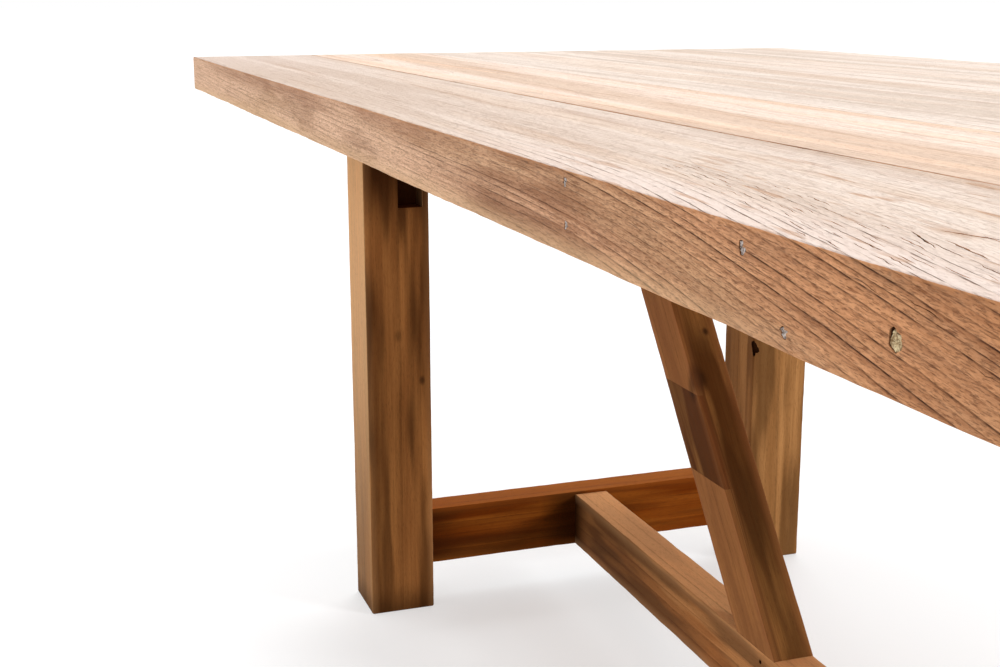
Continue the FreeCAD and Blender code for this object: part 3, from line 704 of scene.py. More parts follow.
# %% Store the marks
ARRIS_REACH, HOLLOW_FROM, HOLLOW_OVER = 0.007, 0.0010, 0.0010
SHARP_ANGLE = math.radians(38)


def mark(piece, lie, half, offset):
    mesh = piece.data
    points = np.zeros(len(mesh.vertices) * 3, np.float32)
    mesh.vertices.foreach_get("co", points)
    back = np.array(lie.inverted())
    inside = points.reshape(-1, 3) @ back[:3, :3].T + back[:3, 3]
    to_side = np.array(half) - np.abs(inside[:, 1:])
    arris = 1 - np.clip(to_side.max(axis=1) / ARRIS_REACH, 0, 1)
    hollow = np.clip((to_side.min(axis=1) - HOLLOW_FROM) / HOLLOW_OVER, 0, 1)
    for name, values in (("arris", arris), ("hollow", hollow)):
        mesh.attributes.new(name, "FLOAT", "POINT").data.foreach_set("value", values.astype(np.float32))
    inside[:, 0] += offset
    grain = mesh.attributes.new("grain", "FLOAT_VECTOR", "POINT")
    grain.data.foreach_set("vector", inside.astype(np.float32).ravel())
    mesh.shade_smooth()
    mesh.set_sharp_from_angle(angle=SHARP_ANGLE)


for one in timbers.values():
    mark(one.piece, one.lie, one.half, one.offset)
faces = sum(len(one.piece.data.polygons) for one in timbers.values())
print("marked", len(timbers), "timbers,", faces, "faces")

# %% [markdown]
# ## The figure of teak
# Teak grows in rings round the heart of the tree, with a dark porous line where each year begins. Cut
# lengthways, the rings show as lines. A flat stripe texture would not meet at the arris of a plank, so
# we make the rings in space: the distance from a heart line, divided by the ring's width. Faces cut
# through it show stripes, arches or bows by themselves. Fibres, pores, streaks and broad clouds of
# tone are noise drawn out along the grain.

# %% Node group for the figure
figure = bpy.data.node_groups.new("teak_figure", "ShaderNodeTree")
for socket, kind in (("Place", "Vector"), ("Heart", "Vector"), ("Ring width", "Float")):
    figure.interface.new_socket(socket, in_out="INPUT", socket_type="NodeSocket" + kind)
for socket in ("Ring", "Line", "Crack", "Fibre", "Pores", "Streak", "Cloud"):
    figure.interface.new_socket(socket, in_out="OUTPUT", socket_type="NodeSocketFloat")
given = figure.nodes.new("NodeGroupInput").outputs
made = figure.nodes.new("NodeGroupOutput").inputs
bench = Bench(figure)
link = figure.links.new
sway = bench.noise(given["Place"], (1.2, 6, 6), 2.0, out=1)
sway = bench.point("MULTIPLY_ADD", sway, (0, 0.012, 0.012), (0, -0.006, -0.006))
place = bench.point("ADD", given["Place"], sway)
ripple = bench.noise(place, (16, 90, 90), 2.0, out=1)
ripple = bench.point("MULTIPLY_ADD", ripple, (0, 0.0014, 0.0014), (0, -0.0007, -0.0007))
place = bench.point("ADD", place, ripple)
from_heart = bench.point("MULTIPLY", bench.point("SUBTRACT", place, given["Heart"]), (0, 1, 1))
distance = bench.point("LENGTH", from_heart)
print("places ready:", len(figure.nodes), "nodes")

# %% Count the years and draw the rings
scaled = bench.calc("MULTIPLY", distance, 70)
uneven = bench.put("TexNoise", {"W": scaled, "Scale": 1.0}, noise_dimensions="1D")
years = bench.calc("MULTIPLY_ADD", uneven, 1.3, bench.calc("DIVIDE", distance, given["Ring width"]))
share = bench.calc("FRACT", years)
weight = bench.put("TexWhiteNoise", {"W": bench.calc("FLOOR", years)}, noise_dimensions="1D")
late = bench.both(bench.step(share, 0.10, 0.95), bench.step(share, 0.95, 1.0, 1.0, 0.0))
link(bench.both(late, bench.calc("MULTIPLY_ADD", weight, 0.7, 0.3)), made["Ring"])
print("rings ready:", len(figure.nodes), "nodes")

# %% Lines, cracks, fibres, pores, streaks and clouds
ends = bench.step(share, 0.965, 1.0, 1.0, 0.0)
thin = bench.both(bench.step(share, 0.80, 0.94), ends)
runs = bench.step(bench.noise(place, (11, 115, 115), 3.0, 0.6), 0.38, 0.55, 0.20, 1.0)
beads = bench.step(bench.noise(place, (140, 420, 420), 1.0), 0.36, 0.60, 0.45, 1.0)
heavy = bench.both(thin, bench.step(weight, 0.0, 0.7, 0.3, 1.0))
link(bench.both(heavy, bench.both(runs, beads)), made["Line"])
hair = bench.both(bench.step(share, 0.84, 0.95), ends)
opened = bench.step(bench.noise(place, (26, 150, 150), 2.0), 0.48, 0.56)
link(bench.both(hair, opened), made["Crack"])
link(bench.noise(place, (9, 620, 620), 4.0, 0.7), made["Fibre"])
link(bench.step(bench.noise(place, (120, 1900, 1900), 0.5), 0.58, 0.70), made["Pores"])
link(bench.noise(place, (1.6, 60, 60), 4.0, 0.6), made["Streak"])
link(bench.noise(place, (1.4, 11, 11), 4.0, 0.6), made["Cloud"])
print("figure ready:", len(figure.nodes), "nodes")


# %% Use the figure in a finish
def figure_of(bench, place, heart, ring_width):
    node = bench.tree.nodes.new("ShaderNodeGroup")
    node.node_tree = figure
    bench.tree.links.new(place, node.inputs["Place"])
    node.inputs["Heart"].default_value = heart
    node.inputs["Ring width"].default_value = ring_width
    return SimpleNamespace(**{socket.name.lower(): socket for socket in node.outputs})


# %% Colours as we see them
def tint(red, green, blue):
    seen_values = [value / 255 for value in (red, green, blue)]
    return tuple(v / 12.92 if v < 0.04045 else ((v + 0.055) / 1.055) ** 2.4 for v in seen_values) + (1.0,)


def palette(**tones):
    return SimpleNamespace(**{name: tint(*tone) for name, tone in tones.items()})


print("middle grey is", round(tint(128, 128, 128)[0], 3), "as light")

# %% [markdown]
# ## Pale planks with ruddy edges
# The top has been sanded and bleached until it is nearly cream, while the edges keep the red brown of
# the wood, with a dark line for every year. One finish does both: it looks at which way the surface
# faces. On the near plank the place that the figure reads is shifted by the swerve of the grain, which
# fades towards the next plank.


# %% Where the figure reads, with the swerve of the near plank
def swerved(bench, grain, slant, swerve):
    along, across, _ = bench.parts(grain)
    held = bench.step(across, -0.06, 0.06, 1.0, 0.5)
    bow = bench.both(bench.step(along, SWERVE_FROM, SWERVE_TO), held)
    shift_y = bench.calc("MULTIPLY_ADD", bow, swerve[0], bench.calc("MULTIPLY", along, slant[0]))
    shift_z = bench.calc("MULTIPLY_ADD", bow, swerve[1], bench.calc("MULTIPLY", along, slant[1]))
    return bench.point("ADD", grain, bench.put("CombineXYZ", {"Y": shift_y, "Z": shift_z}))


# %% The sanded face of a plank
def sanded_wood(bench, marks, place, pale):
    bands = bench.step(bench.noise(place, (0.7, 22, 22), 3.0, 0.5), 0.38, 0.62)
    soft = bench.calc("MULTIPLY_ADD", marks.fibre, 0.5, bench.calc("MULTIPLY", bands, 0.5))
    wood = bench.blend(bench.step(soft, 0.20, 0.80), pale.dull, pale.light)
    warm = bench.step(bench.noise(place, (0.9, 34, 34), 2.0), 0.50, 0.66)
    wood = bench.stain(wood, warm, 0.45, pale.glow)
    hairs = bench.step(bench.noise(place, (5, 300, 300), 3.0, 0.6), 0.54, 0.72)
    wood = bench.stain(wood, hairs, 0.40, pale.streak)
    wood = bench.stain(wood, bench.step(marks.streak, 0.53, 0.72), 0.55, pale.streak)
    dashes = bench.step(bench.noise(place, (18, 400, 400), 1.0), 0.61, 0.70)
    return bench.stain(wood, dashes, 0.30, tint(150, 106, 76))


# %% [markdown]
# Along its near arris the near plank is bleached whiter and full of hairline cracks, with brown flecks
# towards the right, and the wood round the eye is stained. The other planks have a few faint hairlines.


# %% Bleach, hairlines and flecks of the near plank
def cracked_wood(bench, marks, place, wood):
    wobble = bench.calc("MULTIPLY_ADD", marks.cloud, 0.09, bench.calc("ADD", marks.across, -0.045))
    near = bench.both(bench.step(wobble, -0.066, -0.026, 1.0, 0.0), bench.step(marks.along, -0.05, 0.36))
    bleached = bench.calc("MAXIMUM", near, bench.step(marks.along, -0.55, -1.15, 0.0, 0.5))
    wood = bench.stain(wood, bleached, 0.80, tint(225, 207, 197))
    wood = bench.stain(wood, bench.both(marks.line, near), 0.45, tint(172, 128, 100))
    wood = bench.stain(wood, bench.both(marks.crack, near), 0.95, tint(78, 46, 30))
    flecks = bench.step(bench.noise(place, (12, 120, 120), 2.0), 0.60, 0.70)
    flecks = bench.both(flecks, bench.step(marks.along, 0.1, 0.4))
    wood = bench.stain(wood, flecks, 0.60, tint(180, 134, 98))
    seam = bench.both(bench.step(marks.across, 0.050, 0.088), bench.step(marks.fibre, 0.42, 0.58))
    seam = bench.both(seam, bench.step(marks.along, -0.1, 0.4))
    wood = bench.stain(wood, seam, 0.45, tint(164, 122, 90))
    flat_place = bench.put("CombineXYZ", {"X": marks.along, "Y": marks.across})
    from_eye = bench.point("MULTIPLY", bench.point("SUBTRACT", flat_place, EYE_PLACE), (45, 130, 0))
    smudge = bench.step(bench.point("LENGTH", from_eye), 0.25, 1.0, 1.0, 0.0)
    return bench.stain(wood, smudge, 0.45, tint(176, 132, 96))


# %% Faint hairlines of the other planks, and the seams of all
def plain_wood(bench, marks, wood):
    rare = bench.step(marks.cloud, 0.50, 0.64)
    return bench.stain(wood, bench.both(marks.crack, rare), 0.45, tint(150, 110, 82))


def seamed_wood(bench, marks, place, pale, wood):
    wood = bench.stain(wood, marks.ring, 0.18, pale.streak)
    broken = bench.step(bench.noise(place, (9, 90, 90), 3.0), 0.36, 0.60, 0.15, 1.0)
    seams = bench.both(bench.step(marks.arris, 0.75, 0.99), broken)
    wood = bench.stain(wood, seams, 0.45, tint(160, 112, 76))
    return bench.stain(wood, marks.pores, 0.15, tint(146, 106, 78))


# %% The edge of a plank, redder and more strongly lined to the right, with painted light on its paler left end
RUDDY = palette(left=(246, 202, 168), right=(222, 156, 106), dark=(130, 76, 42))


def edge_wood(bench, marks, place, sideward):
    not_sideward = bench.calc("SUBTRACT", 1.0, sideward)
    redder_and_less_lit = bench.calc("MAXIMUM", bench.step(marks.along, -0.25, 0.80), not_sideward)
    # paler at the left, darker and redder to the right: redder wood, and painted light on the left end
    wood = bench.blend(redder_and_less_lit, RUDDY.left, RUDDY.right)
    patches = bench.step(bench.noise(place, (7, 26, 40), 3.0, 0.6), 0.44, 0.66)
    patches = bench.both(patches, bench.step(marks.along, -1.0, -0.5))
    wood = bench.stain(wood, patches, 0.45, tint(166, 122, 90))
    straw = bench.step(bench.noise(place, (2, 34, 34), 3.0), 0.48, 0.70)
    wood = bench.stain(wood, straw, 0.35, tint(218, 176, 132))
    wood = bench.stain(wood, marks.speckle, 0.25, RUDDY.dark)
    wood = bench.stain(wood, bench.step(marks.fibre, 0.60, 0.34), 0.28, RUDDY.dark)
    strong = bench.step(marks.along, -0.10, 0.45, 0.06, 1.0)
    dashes = bench.step(bench.noise(place, (45, 1100, 1100), 2.0, 0.5), 0.57, 0.68)
    wood = bench.stain(wood, bench.both(dashes, strong), 0.55, tint(104, 52, 20))
    dusk = bench.both(bench.step(marks.along, 0.08, 0.20), bench.step(marks.along, 0.40, 0.26))
    dusk = bench.both(dusk, bench.step(marks.streak, 0.32, 0.56))
    wood = bench.stain(wood, dusk, 0.72, tint(132, 80, 46))
    wood = bench.stain(wood, bench.both(bench.step(marks.streak, 0.46, 0.74), strong), 0.35, RUDDY.dark)
    wood = bench.stain(wood, bench.both(marks.ring, strong), 0.58, RUDDY.dark)
    wood = bench.stain(wood, marks.pores, 0.25, tint(104, 62, 36))
    return bench.stain(wood, bench.both(marks.line, strong), 0.95, tint(62, 24, 6))


# %% Wear on the edge: pale below, rubbed above, a light fringe and dark ends
def worn_edge(bench, marks, wood, endward, sideward):
    below = bench.both(bench.step(marks.up, -0.008, -0.024), bench.step(marks.along, 0.60, 0.45))
    wood = bench.stain(wood, bench.both(below, sideward), 0.52, tint(232, 190, 146))
    rubbed = bench.both(bench.step(marks.up, 0.002, 0.019), bench.step(marks.cloud, 0.28, 0.56))
    rubbed = bench.both(rubbed, bench.step(marks.along, -1.15, -0.8), bench.step(marks.along, 0.25, -0.1))
    wood = bench.stain(wood, rubbed, 0.65, tint(150, 94, 60))
    fringe = bench.step(bench.calc("MULTIPLY_ADD", marks.speckle, 0.15, marks.arris), 0.70, 1.0)
    wood = bench.stain(wood, fringe, 0.45, tint(206, 142, 92))
    return bench.stain(wood, endward, 0.45, tint(120, 82, 56))


# %% Finish of one plank
def plank_teak(number, heart, ring_width, slant, pale, swerve=(0, 0), cracked=False):
    finish, bench, shader = new_finish(f"plank_teak_{number}")
    link = finish.node_tree.links.new
    grain = bench.stored("grain", "Vector")
    place = swerved(bench, grain, slant, swerve)
    marks = figure_of(bench, place, heart, ring_width)
    marks.along, marks.across, marks.up = bench.parts(grain)
    marks.arris = bench.stored("arris")
    marks.speckle = bench.step(bench.noise(place, (260, 900, 900), 2.0, 0.7), 0.44, 0.62)
    facing = bench.parts(bench.put("NewGeometry", out="Normal"))
    upward = bench.step(bench.calc("MULTIPLY_ADD", marks.fibre, 0.5, facing["Z"]), 0.92, 1.00)
    upward = bench.both(upward, bench.step(marks.up, 0.014, 0.019))
    endward = bench.step(bench.calc("ABSOLUTE", facing["X"]), 0.5, 0.9)
    sideward = bench.step(bench.calc("ABSOLUTE", facing["Y"]), 0.3, 0.7)
    edge = worn_edge(bench, marks, edge_wood(bench, marks, place, sideward), endward, sideward)
    face = sanded_wood(bench, marks, place, pale)
    face = cracked_wood(bench, marks, place, face) if cracked else plain_wood(bench, marks, face)
    wood = bench.blend(upward, edge, seamed_wood(bench, marks, place, pale, face))
    hollow = bench.step(bench.stored("hollow"), 0.0, 0.3)
    # holes and cut cracks are painted dark, as the shade inside them
    link(bench.stain(wood, hollow, 0.92, tint(56, 31, 17)), shader["Base Color"])
    height = bench.calc("MULTIPLY_ADD", marks.fibre, 0.6, bench.calc("MULTIPLY", marks.ring, -0.35))
    grooves = bench.calc("MULTIPLY_ADD", marks.line, 0.9, bench.calc("MULTIPLY", marks.pores, 0.5))
    height = bench.calc("SUBTRACT", height, grooves)
    link(bench.put("Bump", {"Height": height, "Strength": 0.8, "Distance": 0.0014}), shader["Normal"])
    link(bench.step(marks.fibre, 0.2, 0.8, 0.85, 0.62), shader["Roughness"])
    shader["Specular IOR Level"].default_value = 0.15
    return finish


# %% Six finishes
CREAM = palette(dull=(205, 184, 168), light=(224, 207, 194), streak=(180, 144, 118), glow=(214, 188, 165))
PEACH = palette(dull=(217, 191, 170), light=(238, 217, 202), streak=(194, 154, 125), glow=(240, 203, 171))
SAND = palette(dull=(210, 192, 177), light=(233, 219, 208), streak=(194, 164, 142), glow=(229, 205, 184))
NEAR_SLANT, NEAR_SWERVE = (SLANT_Y, SLANT_Z), (SWERVE_Y, SWERVE_Z)
top_finishes = [
    plank_teak(1, (0, -0.165, -0.107), 0.0037, NEAR_SLANT, CREAM, NEAR_SWERVE, cracked=True),
    plank_teak(2, (0, 0.02, -0.09), 0.0055, (0.010, 0.012), PEACH),
    plank_teak(3, (0, -0.30, -0.06), 0.0060, (-0.012, 0.008), SAND),
    plank_teak(4, (0, 0.06, -0.07), 0.0050, (0.008, -0.014), SAND),
    plank_teak(5, (0, 0.24, -0.05), 0.0058, (-0.006, 0.010), SAND),
    plank_teak(6, (0, -0.04, -0.10), 0.0052, (0.012, 0.010), SAND),
]
print("plank finishes:", [finish.name for finish in top_finishes])

# %% [markdown]
# ## The oiled base
# The base is glued up from staves, butted end to end, so its tone changes in steps, with a thin glue
# line between. Painting each stave would be a lot of meshes. Instead the finish counts staves in the
# timber's own measure, and each count rolls a die for the stave's tone and for the part of the tree
# that its figure comes from.


# %% Count the staves of a timber
def counted_staves(bench, place, size):
    counted = bench.point("MULTIPLY_ADD", place, (0, 1 / size[1], 1 / size[2]), (0, 0.5, 0.5))
    row = bench.point("FLOOR", counted)
    stagger = bench.put("TexWhiteNoise", {"Vector": row}, noise_dimensions="3D")
    length = bench.calc("MULTIPLY_ADD", bench.parts(place)["X"], 1 / size[0], stagger)
    cell = bench.point("ADD", row, bench.put("CombineXYZ", {"X": bench.calc("FLOOR", length)}))
    die = bench.put("TexWhiteNoise", {"Vector": cell}, noise_dimensions="3D").node.outputs
    off_middle = bench.point("SUBTRACT", bench.point("FRACTION", counted), (0.5, 0.5, 0.5))
    sides = bench.parts(bench.point("ABSOLUTE", off_middle))
    widest = bench.calc("MAXIMUM", sides["Y"], sides["Z"])
    butt = bench.calc("ABSOLUTE", bench.calc("SUBTRACT", bench.calc("FRACT", length), 0.5))
    glue = bench.calc("MAXIMUM", bench.step(widest, 0.488, 0.497), bench.step(butt, 0.4975, 0.4993))
    return die, glue


# %% [markdown]
# A brace shows its staves most plainly, so dice won't do there and we set them out one by one: three
# short staves in front, the middle one very dark, and a long one behind them that is darkest halfway
# up. Both braces are set out alike, so each measures from its own foot.

# %% Set out the staves of a brace
BRACE_BUTTS = 0.203, 0.322
BRACE_SEAM, SEAM_BLUR = -0.018, 0.005


def brace_staves(bench, place):
    parts = bench.parts(place)
    from_foot = bench.calc("FLOORED_MODULO", parts["X"], BRACE_SPACING)
    second, third = (bench.calc("GREATER_THAN", from_foot, butt) for butt in BRACE_BUTTS)
    short = bench.calc("MULTIPLY_ADD", third, 0.44, bench.calc("MULTIPLY_ADD", second, -0.60, 0.62))
    darkening = bench.step(from_foot, 0.30, 0.0, 0.24, 0.68)
    long = bench.calc("ADD", darkening, bench.step(from_foot, 0.36, 0.43, 0.0, 0.56))
    behind = bench.step(parts["Z"], BRACE_SEAM - SEAM_BLUR, BRACE_SEAM + SEAM_BLUR)
    tone = bench.put("Mix", {0: behind, 2: short, 3: long})
    origin = bench.put("Mix", {0: behind, 2: short, 3: 0.3})
    gaps = [bench.calc("ABSOLUTE", bench.calc("SUBTRACT", from_foot, butt)) for butt in BRACE_BUTTS]
    glue = bench.step(bench.calc("MINIMUM", *gaps), 0.0008, 0.0004)
    glue = bench.both(glue, bench.calc("SUBTRACT", 1.0, behind))
    return {"Value": tone, "Color": origin}, glue


# %% [markdown]
# Over the staves' tone lie golden and smoky streaks along the grain, and then the lines of the figure.


# %% Tone and streaks of oiled wood
def oiled_wood(bench, marks, place, chance, tones, smoke):
    tone = bench.put("ValToRGB", {0: chance})
    ramp = tone.node.color_ramp
    ramp.elements[0].position, ramp.elements[0].color = 0.25, tones.dark
    ramp.elements[1].position, ramp.elements[1].color = 0.75, tones.light
    ramp.elements.new(0.5).color = tones.middle
    strength, scale = smoke
    gold = bench.step(bench.noise(place, (scale * 0.8, 34, 34), 2.0, 0.5), 0.50, 0.66)
    wood = bench.stain(tone, gold, 0.60, tones.light)
    smoky = bench.step(bench.noise(place, (scale, 36, 36), 2.0, 0.5), 0.45, 0.62)
    wood = bench.stain(wood, smoky, strength, tint(50, 27, 10))
    wood = bench.stain(wood, bench.step(marks.streak, 0.50, 0.72), 0.35, tones.dark)
    wood = bench.stain(wood, marks.ring, 0.30, tones.dark)
    return bench.stain(wood, bench.step(marks.fibre, 0.60, 0.36), 0.25, tones.dark)


# %% [markdown]
# Use has worked on each face in its own way, and some faces are painted paler as if more light fell on
# them, so the finish asks where a surface is and which way it faces. The bearers keep their CAD solids,
# which carry no marks, so their finish reads plain coordinates, with the grain turned to run across the
# table.

# %% Where a surface is and which way it faces
SIDE_FACING, UP_FACING = (0.7, 0.97), (0.75, 0.97)


def surface_of(bench):
    surface = bench.put("NewGeometry", out="Normal").node.outputs
    look = SimpleNamespace(facing=bench.parts(surface["Normal"]), position=surface["Position"])
    look.at = bench.parts(look.position)
    look.outward = bench.step(bench.calc("ABSOLUTE", look.facing["Y"]), *SIDE_FACING)
    look.upside = bench.step(look.facing["Z"], *UP_FACING)
    return look


def carried_grain(bench):
    whole = bench.parts(bench.put("TexCoord", out="Object"))
    return bench.put("CombineXYZ", {"X": whole["Y"], "Y": whole["X"], "Z": whole["Z"]})


# %% [markdown]
# The near posts are dark at the foot and in a band along one arris. High up on the faces that don't look
# out they carry painted shade from the top, over an old stain. Knots are dark spots, taller than wide.
# The sides of the stretcher darken towards its ends, smoky wood with painted shadow at the joints, and
# the rails carry the painted shadows of the stretcher and the posts, and painted shade on their near half.


# %% Painted shade, dark feet and a streak of the near posts, and knots
def post_shade(bench, marks, look, wood):
    # painted shade from the top, over an old stain, high on the faces that don't look out
    inner = bench.calc("SUBTRACT", 1.0, bench.calc("MAXIMUM", look.outward, look.upside))
    head = bench.both(inner, bench.step(look.at["Z"], 0.52, 0.63))
    wood = bench.stain(wood, head, 0.82, tint(44, 20, 6))
    wood = bench.stain(wood, bench.step(look.at["Z"], 0.40, 0.0), 0.35, tint(80, 46, 20))
    ragged = bench.calc("MULTIPLY_ADD", marks.streak, 0.03, look.at["Y"])
    band = bench.both(bench.step(ragged, -0.297, -0.312), bench.step(look.at["Z"], 0.52, 0.42))
    lengthwise = bench.step(bench.calc("ABSOLUTE", look.facing["X"]), *SIDE_FACING)
    wood = bench.stain(wood, bench.both(lengthwise, band), 0.45, tint(58, 31, 12))
    return bench.stain(wood, bench.step(look.at["Z"], 0.045, 0.0), 0.60, tint(52, 28, 10))


def knotted(bench, marks, look, wood, knots):
    for knot, size, strength in knots:
        near = bench.point("SUBTRACT", look.position, knot)
        near = bench.point("MULTIPLY", near, (1 / size, 1 / size, 0.6 / size))
        near = bench.calc("MULTIPLY_ADD", marks.streak, 1.2, bench.point("LENGTH", near))
        wood = bench.stain(wood, bench.step(near, 0.9, 1.9, 1.0, 0.0), strength, tint(34, 18, 8))
    return wood


# %% Painted shadows on the stretcher and the rails, with the stretcher's smoky ends
def stretcher_shadow_and_smoke(bench, at):
    # painted shadow by the joints at both ends, over smoky wood that darkens towards them
    from_middle = bench.calc("ABSOLUTE", at["X"])
    joint = bench.step(from_middle, 0.76, 0.84, 0.0, 0.6)
    return bench.calc("ADD", bench.step(from_middle, 0.30, 0.74, 0.0, 0.60), joint)


def rail_painted_shadow(bench, at):
    # painted shadows: the stretcher's slanted shadow by the joint, the post's shadow at the near end, and
    # painted shade over the near half
    near_half = bench.step(at["Y"], 0.02, -0.06, 0.0, 0.36)
    joint = bench.both(bench.step(at["Y"], -0.11, -0.035), bench.step(at["Y"], 0.0, -0.02))
    post = bench.step(at["Y"], -0.18, -0.25, 0.0, 0.40)
    return bench.calc("MAXIMUM", bench.calc("ADD", near_half, post), joint)


# %% [markdown]
# Now the parts of the finish come together. Faces that look up or out to the long sides are paler, partly
# faded and partly painted light, arrises are rubbed lighter, and hollows are painted dark with shade.

# %% Finish of the oiled timbers
BASE_HEART, BASE_RING = (0, -0.09, -0.06), 0.013


def oiled_teak(
    name, tones, faded_and_lit, fade_and_light, stave, stepped, smoke,
    knots=(), rubbed=0.2, standing=False, shadow_and_smoke=None, carried=False,
):
    finish, bench, shader = new_finish(name)
    link = finish.node_tree.links.new
    place = carried_grain(bench) if carried else bench.stored("grain", "Vector")
    die, glue = counted_staves(bench, place, stave) if stave else brace_staves(bench, place)
    apart = (3 * stepped, 0.06 * stepped, 0.06 * stepped)
    own_place = bench.point("MULTIPLY_ADD", die["Color"], apart, place)
    marks = figure_of(bench, own_place, BASE_HEART, BASE_RING)
    chance = bench.calc("MULTIPLY", marks.cloud, 1 - stepped)
    chance = bench.calc("MULTIPLY_ADD", die["Value"], stepped, chance)
    wood = oiled_wood(bench, marks, own_place, chance, tones, smoke)
    look = surface_of(bench)
    if standing:
        look.outward = bench.both(look.outward, bench.step(look.at["Z"], 0.0, 0.58, 0.42, 1.0))
    if not stave:
        look.outward = bench.both(look.outward, bench.step(die["Value"], 0.0, 0.4, 0.25, 1.0))
    # faces that look up or out are painted paler: partly faded wood, partly painted light where the lamps
    # fall
    wood = bench.stain(bench.stain(wood, look.outward, fade_and_light[0], faded_and_lit), look.upside, fade_and_light[1], faded_and_lit)
    wood = bench.stain(wood, marks.line, 0.30, tint(46, 25, 10))
    wood = bench.stain(wood, marks.pores, 0.25, tint(56, 32, 14))
    wood = bench.stain(wood, glue, 0.6 * stepped, tint(48, 27, 12))
    if standing:
        wood = post_shade(bench, marks, look, wood)
    wood = knotted(bench, marks, look, wood, knots)
    # painted shadow on the sides of rails and stretcher, with smoky wood towards the stretcher's ends
    if shadow_and_smoke:
        sides = bench.both(shadow_and_smoke(bench, look.at), bench.calc("SUBTRACT", 1.0, look.upside))
        wood = bench.stain(wood, sides, 0.85, tint(38, 15, 3))
    if not carried:
        wood = bench.stain(wood, bench.stored("arris"), rubbed, faded_and_lit)
        # holes and the old mortise are painted dark, as the shade inside them
        hollow = bench.step(bench.stored("hollow"), 0.0, 0.3)
        wood = bench.stain(wood, hollow, 0.90, tint(54, 28, 12))
    link(wood, shader["Base Color"])
    height = bench.calc("MULTIPLY_ADD", marks.fibre, 0.5, bench.calc("MULTIPLY", marks.ring, -0.3))
    grooves = bench.calc("MULTIPLY_ADD", glue, 0.4, bench.calc("MULTIPLY", marks.pores, 0.3))
    height = bench.calc("SUBTRACT", height, grooves)
    link(bench.put("Bump", {"Height": height, "Strength": 0.4, "Distance": 0.0006}), shader["Normal"])
    link(bench.step(marks.cloud, 0.3, 0.7, 0.52, 0.70), shader["Roughness"])
    shader["Specular IOR Level"].default_value = 0.012
    return finish


# %% [markdown]
# Each kind of timber gets its tones, the colour that its up and outward faces are painted towards (partly
# faded wood, partly painted light) and how far, the size of its staves (along, across and up), how
# plainly the staves differ, and the strength and scale of its smoke.

# %% Tones and knots of the base
GOLDEN = palette(dark=(94, 55, 24), middle=(140, 89, 47), light=(182, 125, 70))
TAWNY = palette(dark=(112, 74, 38), middle=(150, 104, 60), light=(194, 142, 88))
CHESTNUT = palette(dark=(78, 30, 3), middle=(118, 54, 9), light=(166, 96, 32))
TAN = palette(dark=(104, 52, 18), middle=(166, 102, 52), light=(208, 147, 90))
UMBER = palette(dark=(68, 34, 9), middle=(101, 68, 35), light=(154, 108, 60))
HONEY, CLAY, WHEAT = tint(238, 186, 134), tint(148, 98, 56), tint(225, 173, 122)
ROSY, COPPER = tint(198, 130, 82), tint(178, 108, 46)
POST_KNOTS = (((-0.805, -0.263, 0.335), 0.0045, 0.65), ((-0.805, -0.296, 0.400), 0.006, 0.35))
BRACE_KNOTS = (((-0.500, 0.010, 0.450), 0.005, 0.8), ((-0.462, -0.019, 0.402), 0.015, 0.85))
print("two knots each in the near post and the brace, at", POST_KNOTS[0][0], "and", BRACE_KNOTS[0][0])

# %% Finishes for posts, rails, stretcher, braces and bearers
near_post_finish = oiled_teak(
    "oiled_near_posts", GOLDEN, HONEY, fade_and_light=(0.74, 0.5), stave=(9, 0.05, 0.09), stepped=0.0,
    smoke=(0.70, 3.2), knots=POST_KNOTS, rubbed=0.12, standing=True,
)
far_post_finish = oiled_teak(
    "oiled_far_posts", TAWNY, CLAY, fade_and_light=(0.3, 0.5), stave=(9, 0.05, 0.09), stepped=0.15, smoke=(0.60, 4.0),
)
rail_finish = oiled_teak(
    "oiled_rails", CHESTNUT, COPPER, fade_and_light=(0.4, 0.6), stave=(9, 0.2, 0.2), stepped=0.0,
    smoke=(0.60, 3.0), shadow_and_smoke=rail_painted_shadow,
)
stretcher_finish = oiled_teak(
    "oiled_stretcher", TAN, WHEAT, fade_and_light=(0.09, 0.66), stave=(9, 0.06, 0.2), stepped=0.1,
    smoke=(0.66, 5.0), rubbed=0.3, shadow_and_smoke=stretcher_shadow_and_smoke,
)
brace_finish = oiled_teak(
    "oiled_braces", UMBER, ROSY, fade_and_light=(0.36, 0.2), stave=None, stepped=0.60,
    smoke=(0.5, 6.0), knots=BRACE_KNOTS, rubbed=0.25,
)
bearer_finish = oiled_teak(
    "oiled_bearers", UMBER, CLAY, fade_and_light=(0.4, 0.4), stave=(0.60, 0.045, 0.060), stepped=0.3,
    smoke=(0.6, 3.0), carried=True,
)
print("base finishes ready, the brace has", len(brace_finish.node_tree.nodes), "nodes")

# %% [markdown]
# ## Small parts
# The tongues in the seams are plain sawn wood, the filling is short straw-coloured crumbs, the nails
# have gone grey with brown rust in the pits, and the screws, bolts and washers are plated and lightly
# brushed. They are small, so one noise for the colour and one for the surface is enough for each.


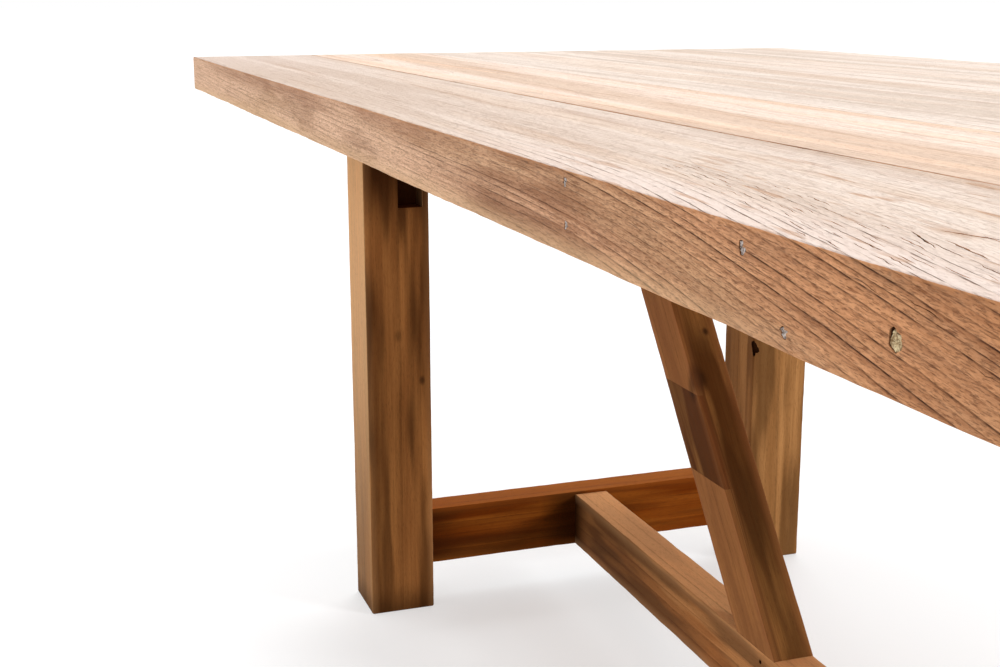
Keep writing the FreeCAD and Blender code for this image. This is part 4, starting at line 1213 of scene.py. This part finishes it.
# %% Finishes of the small parts
def small_finish(name, light, dark, scale, rough, metal=0.0):
    finish, bench, shader = new_finish(name)
    link = finish.node_tree.links.new
    place = bench.put("TexCoord", out="Object")
    patches = bench.step(bench.noise(place, scale, 4.0, 0.65), 0.38, 0.64)
    link(bench.blend(patches, tint(*light), tint(*dark)), shader["Base Color"])
    fine = bench.noise(place, tuple(3 * s for s in scale), 3.0, 0.6)
    link(bench.step(fine, 0.3, 0.7, rough[0], rough[1]), shader["Roughness"])
    link(bench.put("Bump", {"Height": fine, "Strength": 0.6, "Distance": 0.0003}), shader["Normal"])
    shader["Metallic"].default_value = metal
    print("small finish", name, "has", len(finish.node_tree.nodes), "nodes")
    return finish


tongue_finish = small_finish("sawn_tongue", (196, 164, 128), (160, 122, 86), (15, 260, 260), (0.6, 0.85))
filling_finish = small_finish("straw_filling", (226, 206, 164), (150, 120, 82), (900, 900, 500), (0.7, 0.9))
nail_finish = small_finish("grey_nail", (214, 204, 198), (120, 98, 86), (700, 700, 700), (0.4, 0.75), 0.3)
plated_finish = small_finish(
    "plated_steel", (196, 196, 198), (150, 148, 144), (120, 500, 500), (0.28, 0.5), metal=1.0
)

# %% [markdown]
# ## Dress the table
# Every new piece rides on the one rigid body of this table and stands for its CAD solid, which is
# hidden. The bearers, the batten, the tongues and the iron keep their CAD shapes and
# only get a finish.


# %% Give each new piece its finish
def dress(piece, node, finish):
    piece.data.materials.clear()
    piece.data.materials.append(finish)
    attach(piece, "root")
    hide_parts(node)


BASE_FINISHES = {"post_front": near_post_finish, "post_back": far_post_finish, "cross_rail": rail_finish}
BASE_FINISHES |= {"brace_left": brace_finish, "brace_right": brace_finish}
BASE_FINISHES["long_stretcher"] = stretcher_finish
for node, one in timbers.items():
    if node.startswith("top_plank"):
        dress(one.piece, node, top_finishes[int(node[-1]) - 1])
    else:
        dress(one.piece, node, BASE_FINISHES["_".join(node.split("_")[:2])])
dress(nail_stubs, "nail_stubs", nail_finish)
dress(filling, "edge_plug", filling_finish)
print("dressed", len(timbers) + 2, "new pieces")

# %% Give the CAD pieces that stay their finish
KEPT = {"bearer_left": bearer_finish, "bearer_right": bearer_finish, "middle_batten": bearer_finish}
KEPT["plank_tongues"] = tongue_finish
for node in ("top_screws", "stretcher_bolts", "stretcher_washers", "barrel_nuts"):
    KEPT[node] = plated_finish
for node, finish in KEPT.items():
    kept_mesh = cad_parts[node].data
    kept_mesh.materials.clear()
    kept_mesh.materials.append(finish)
print("finished", len(KEPT), "CAD pieces")
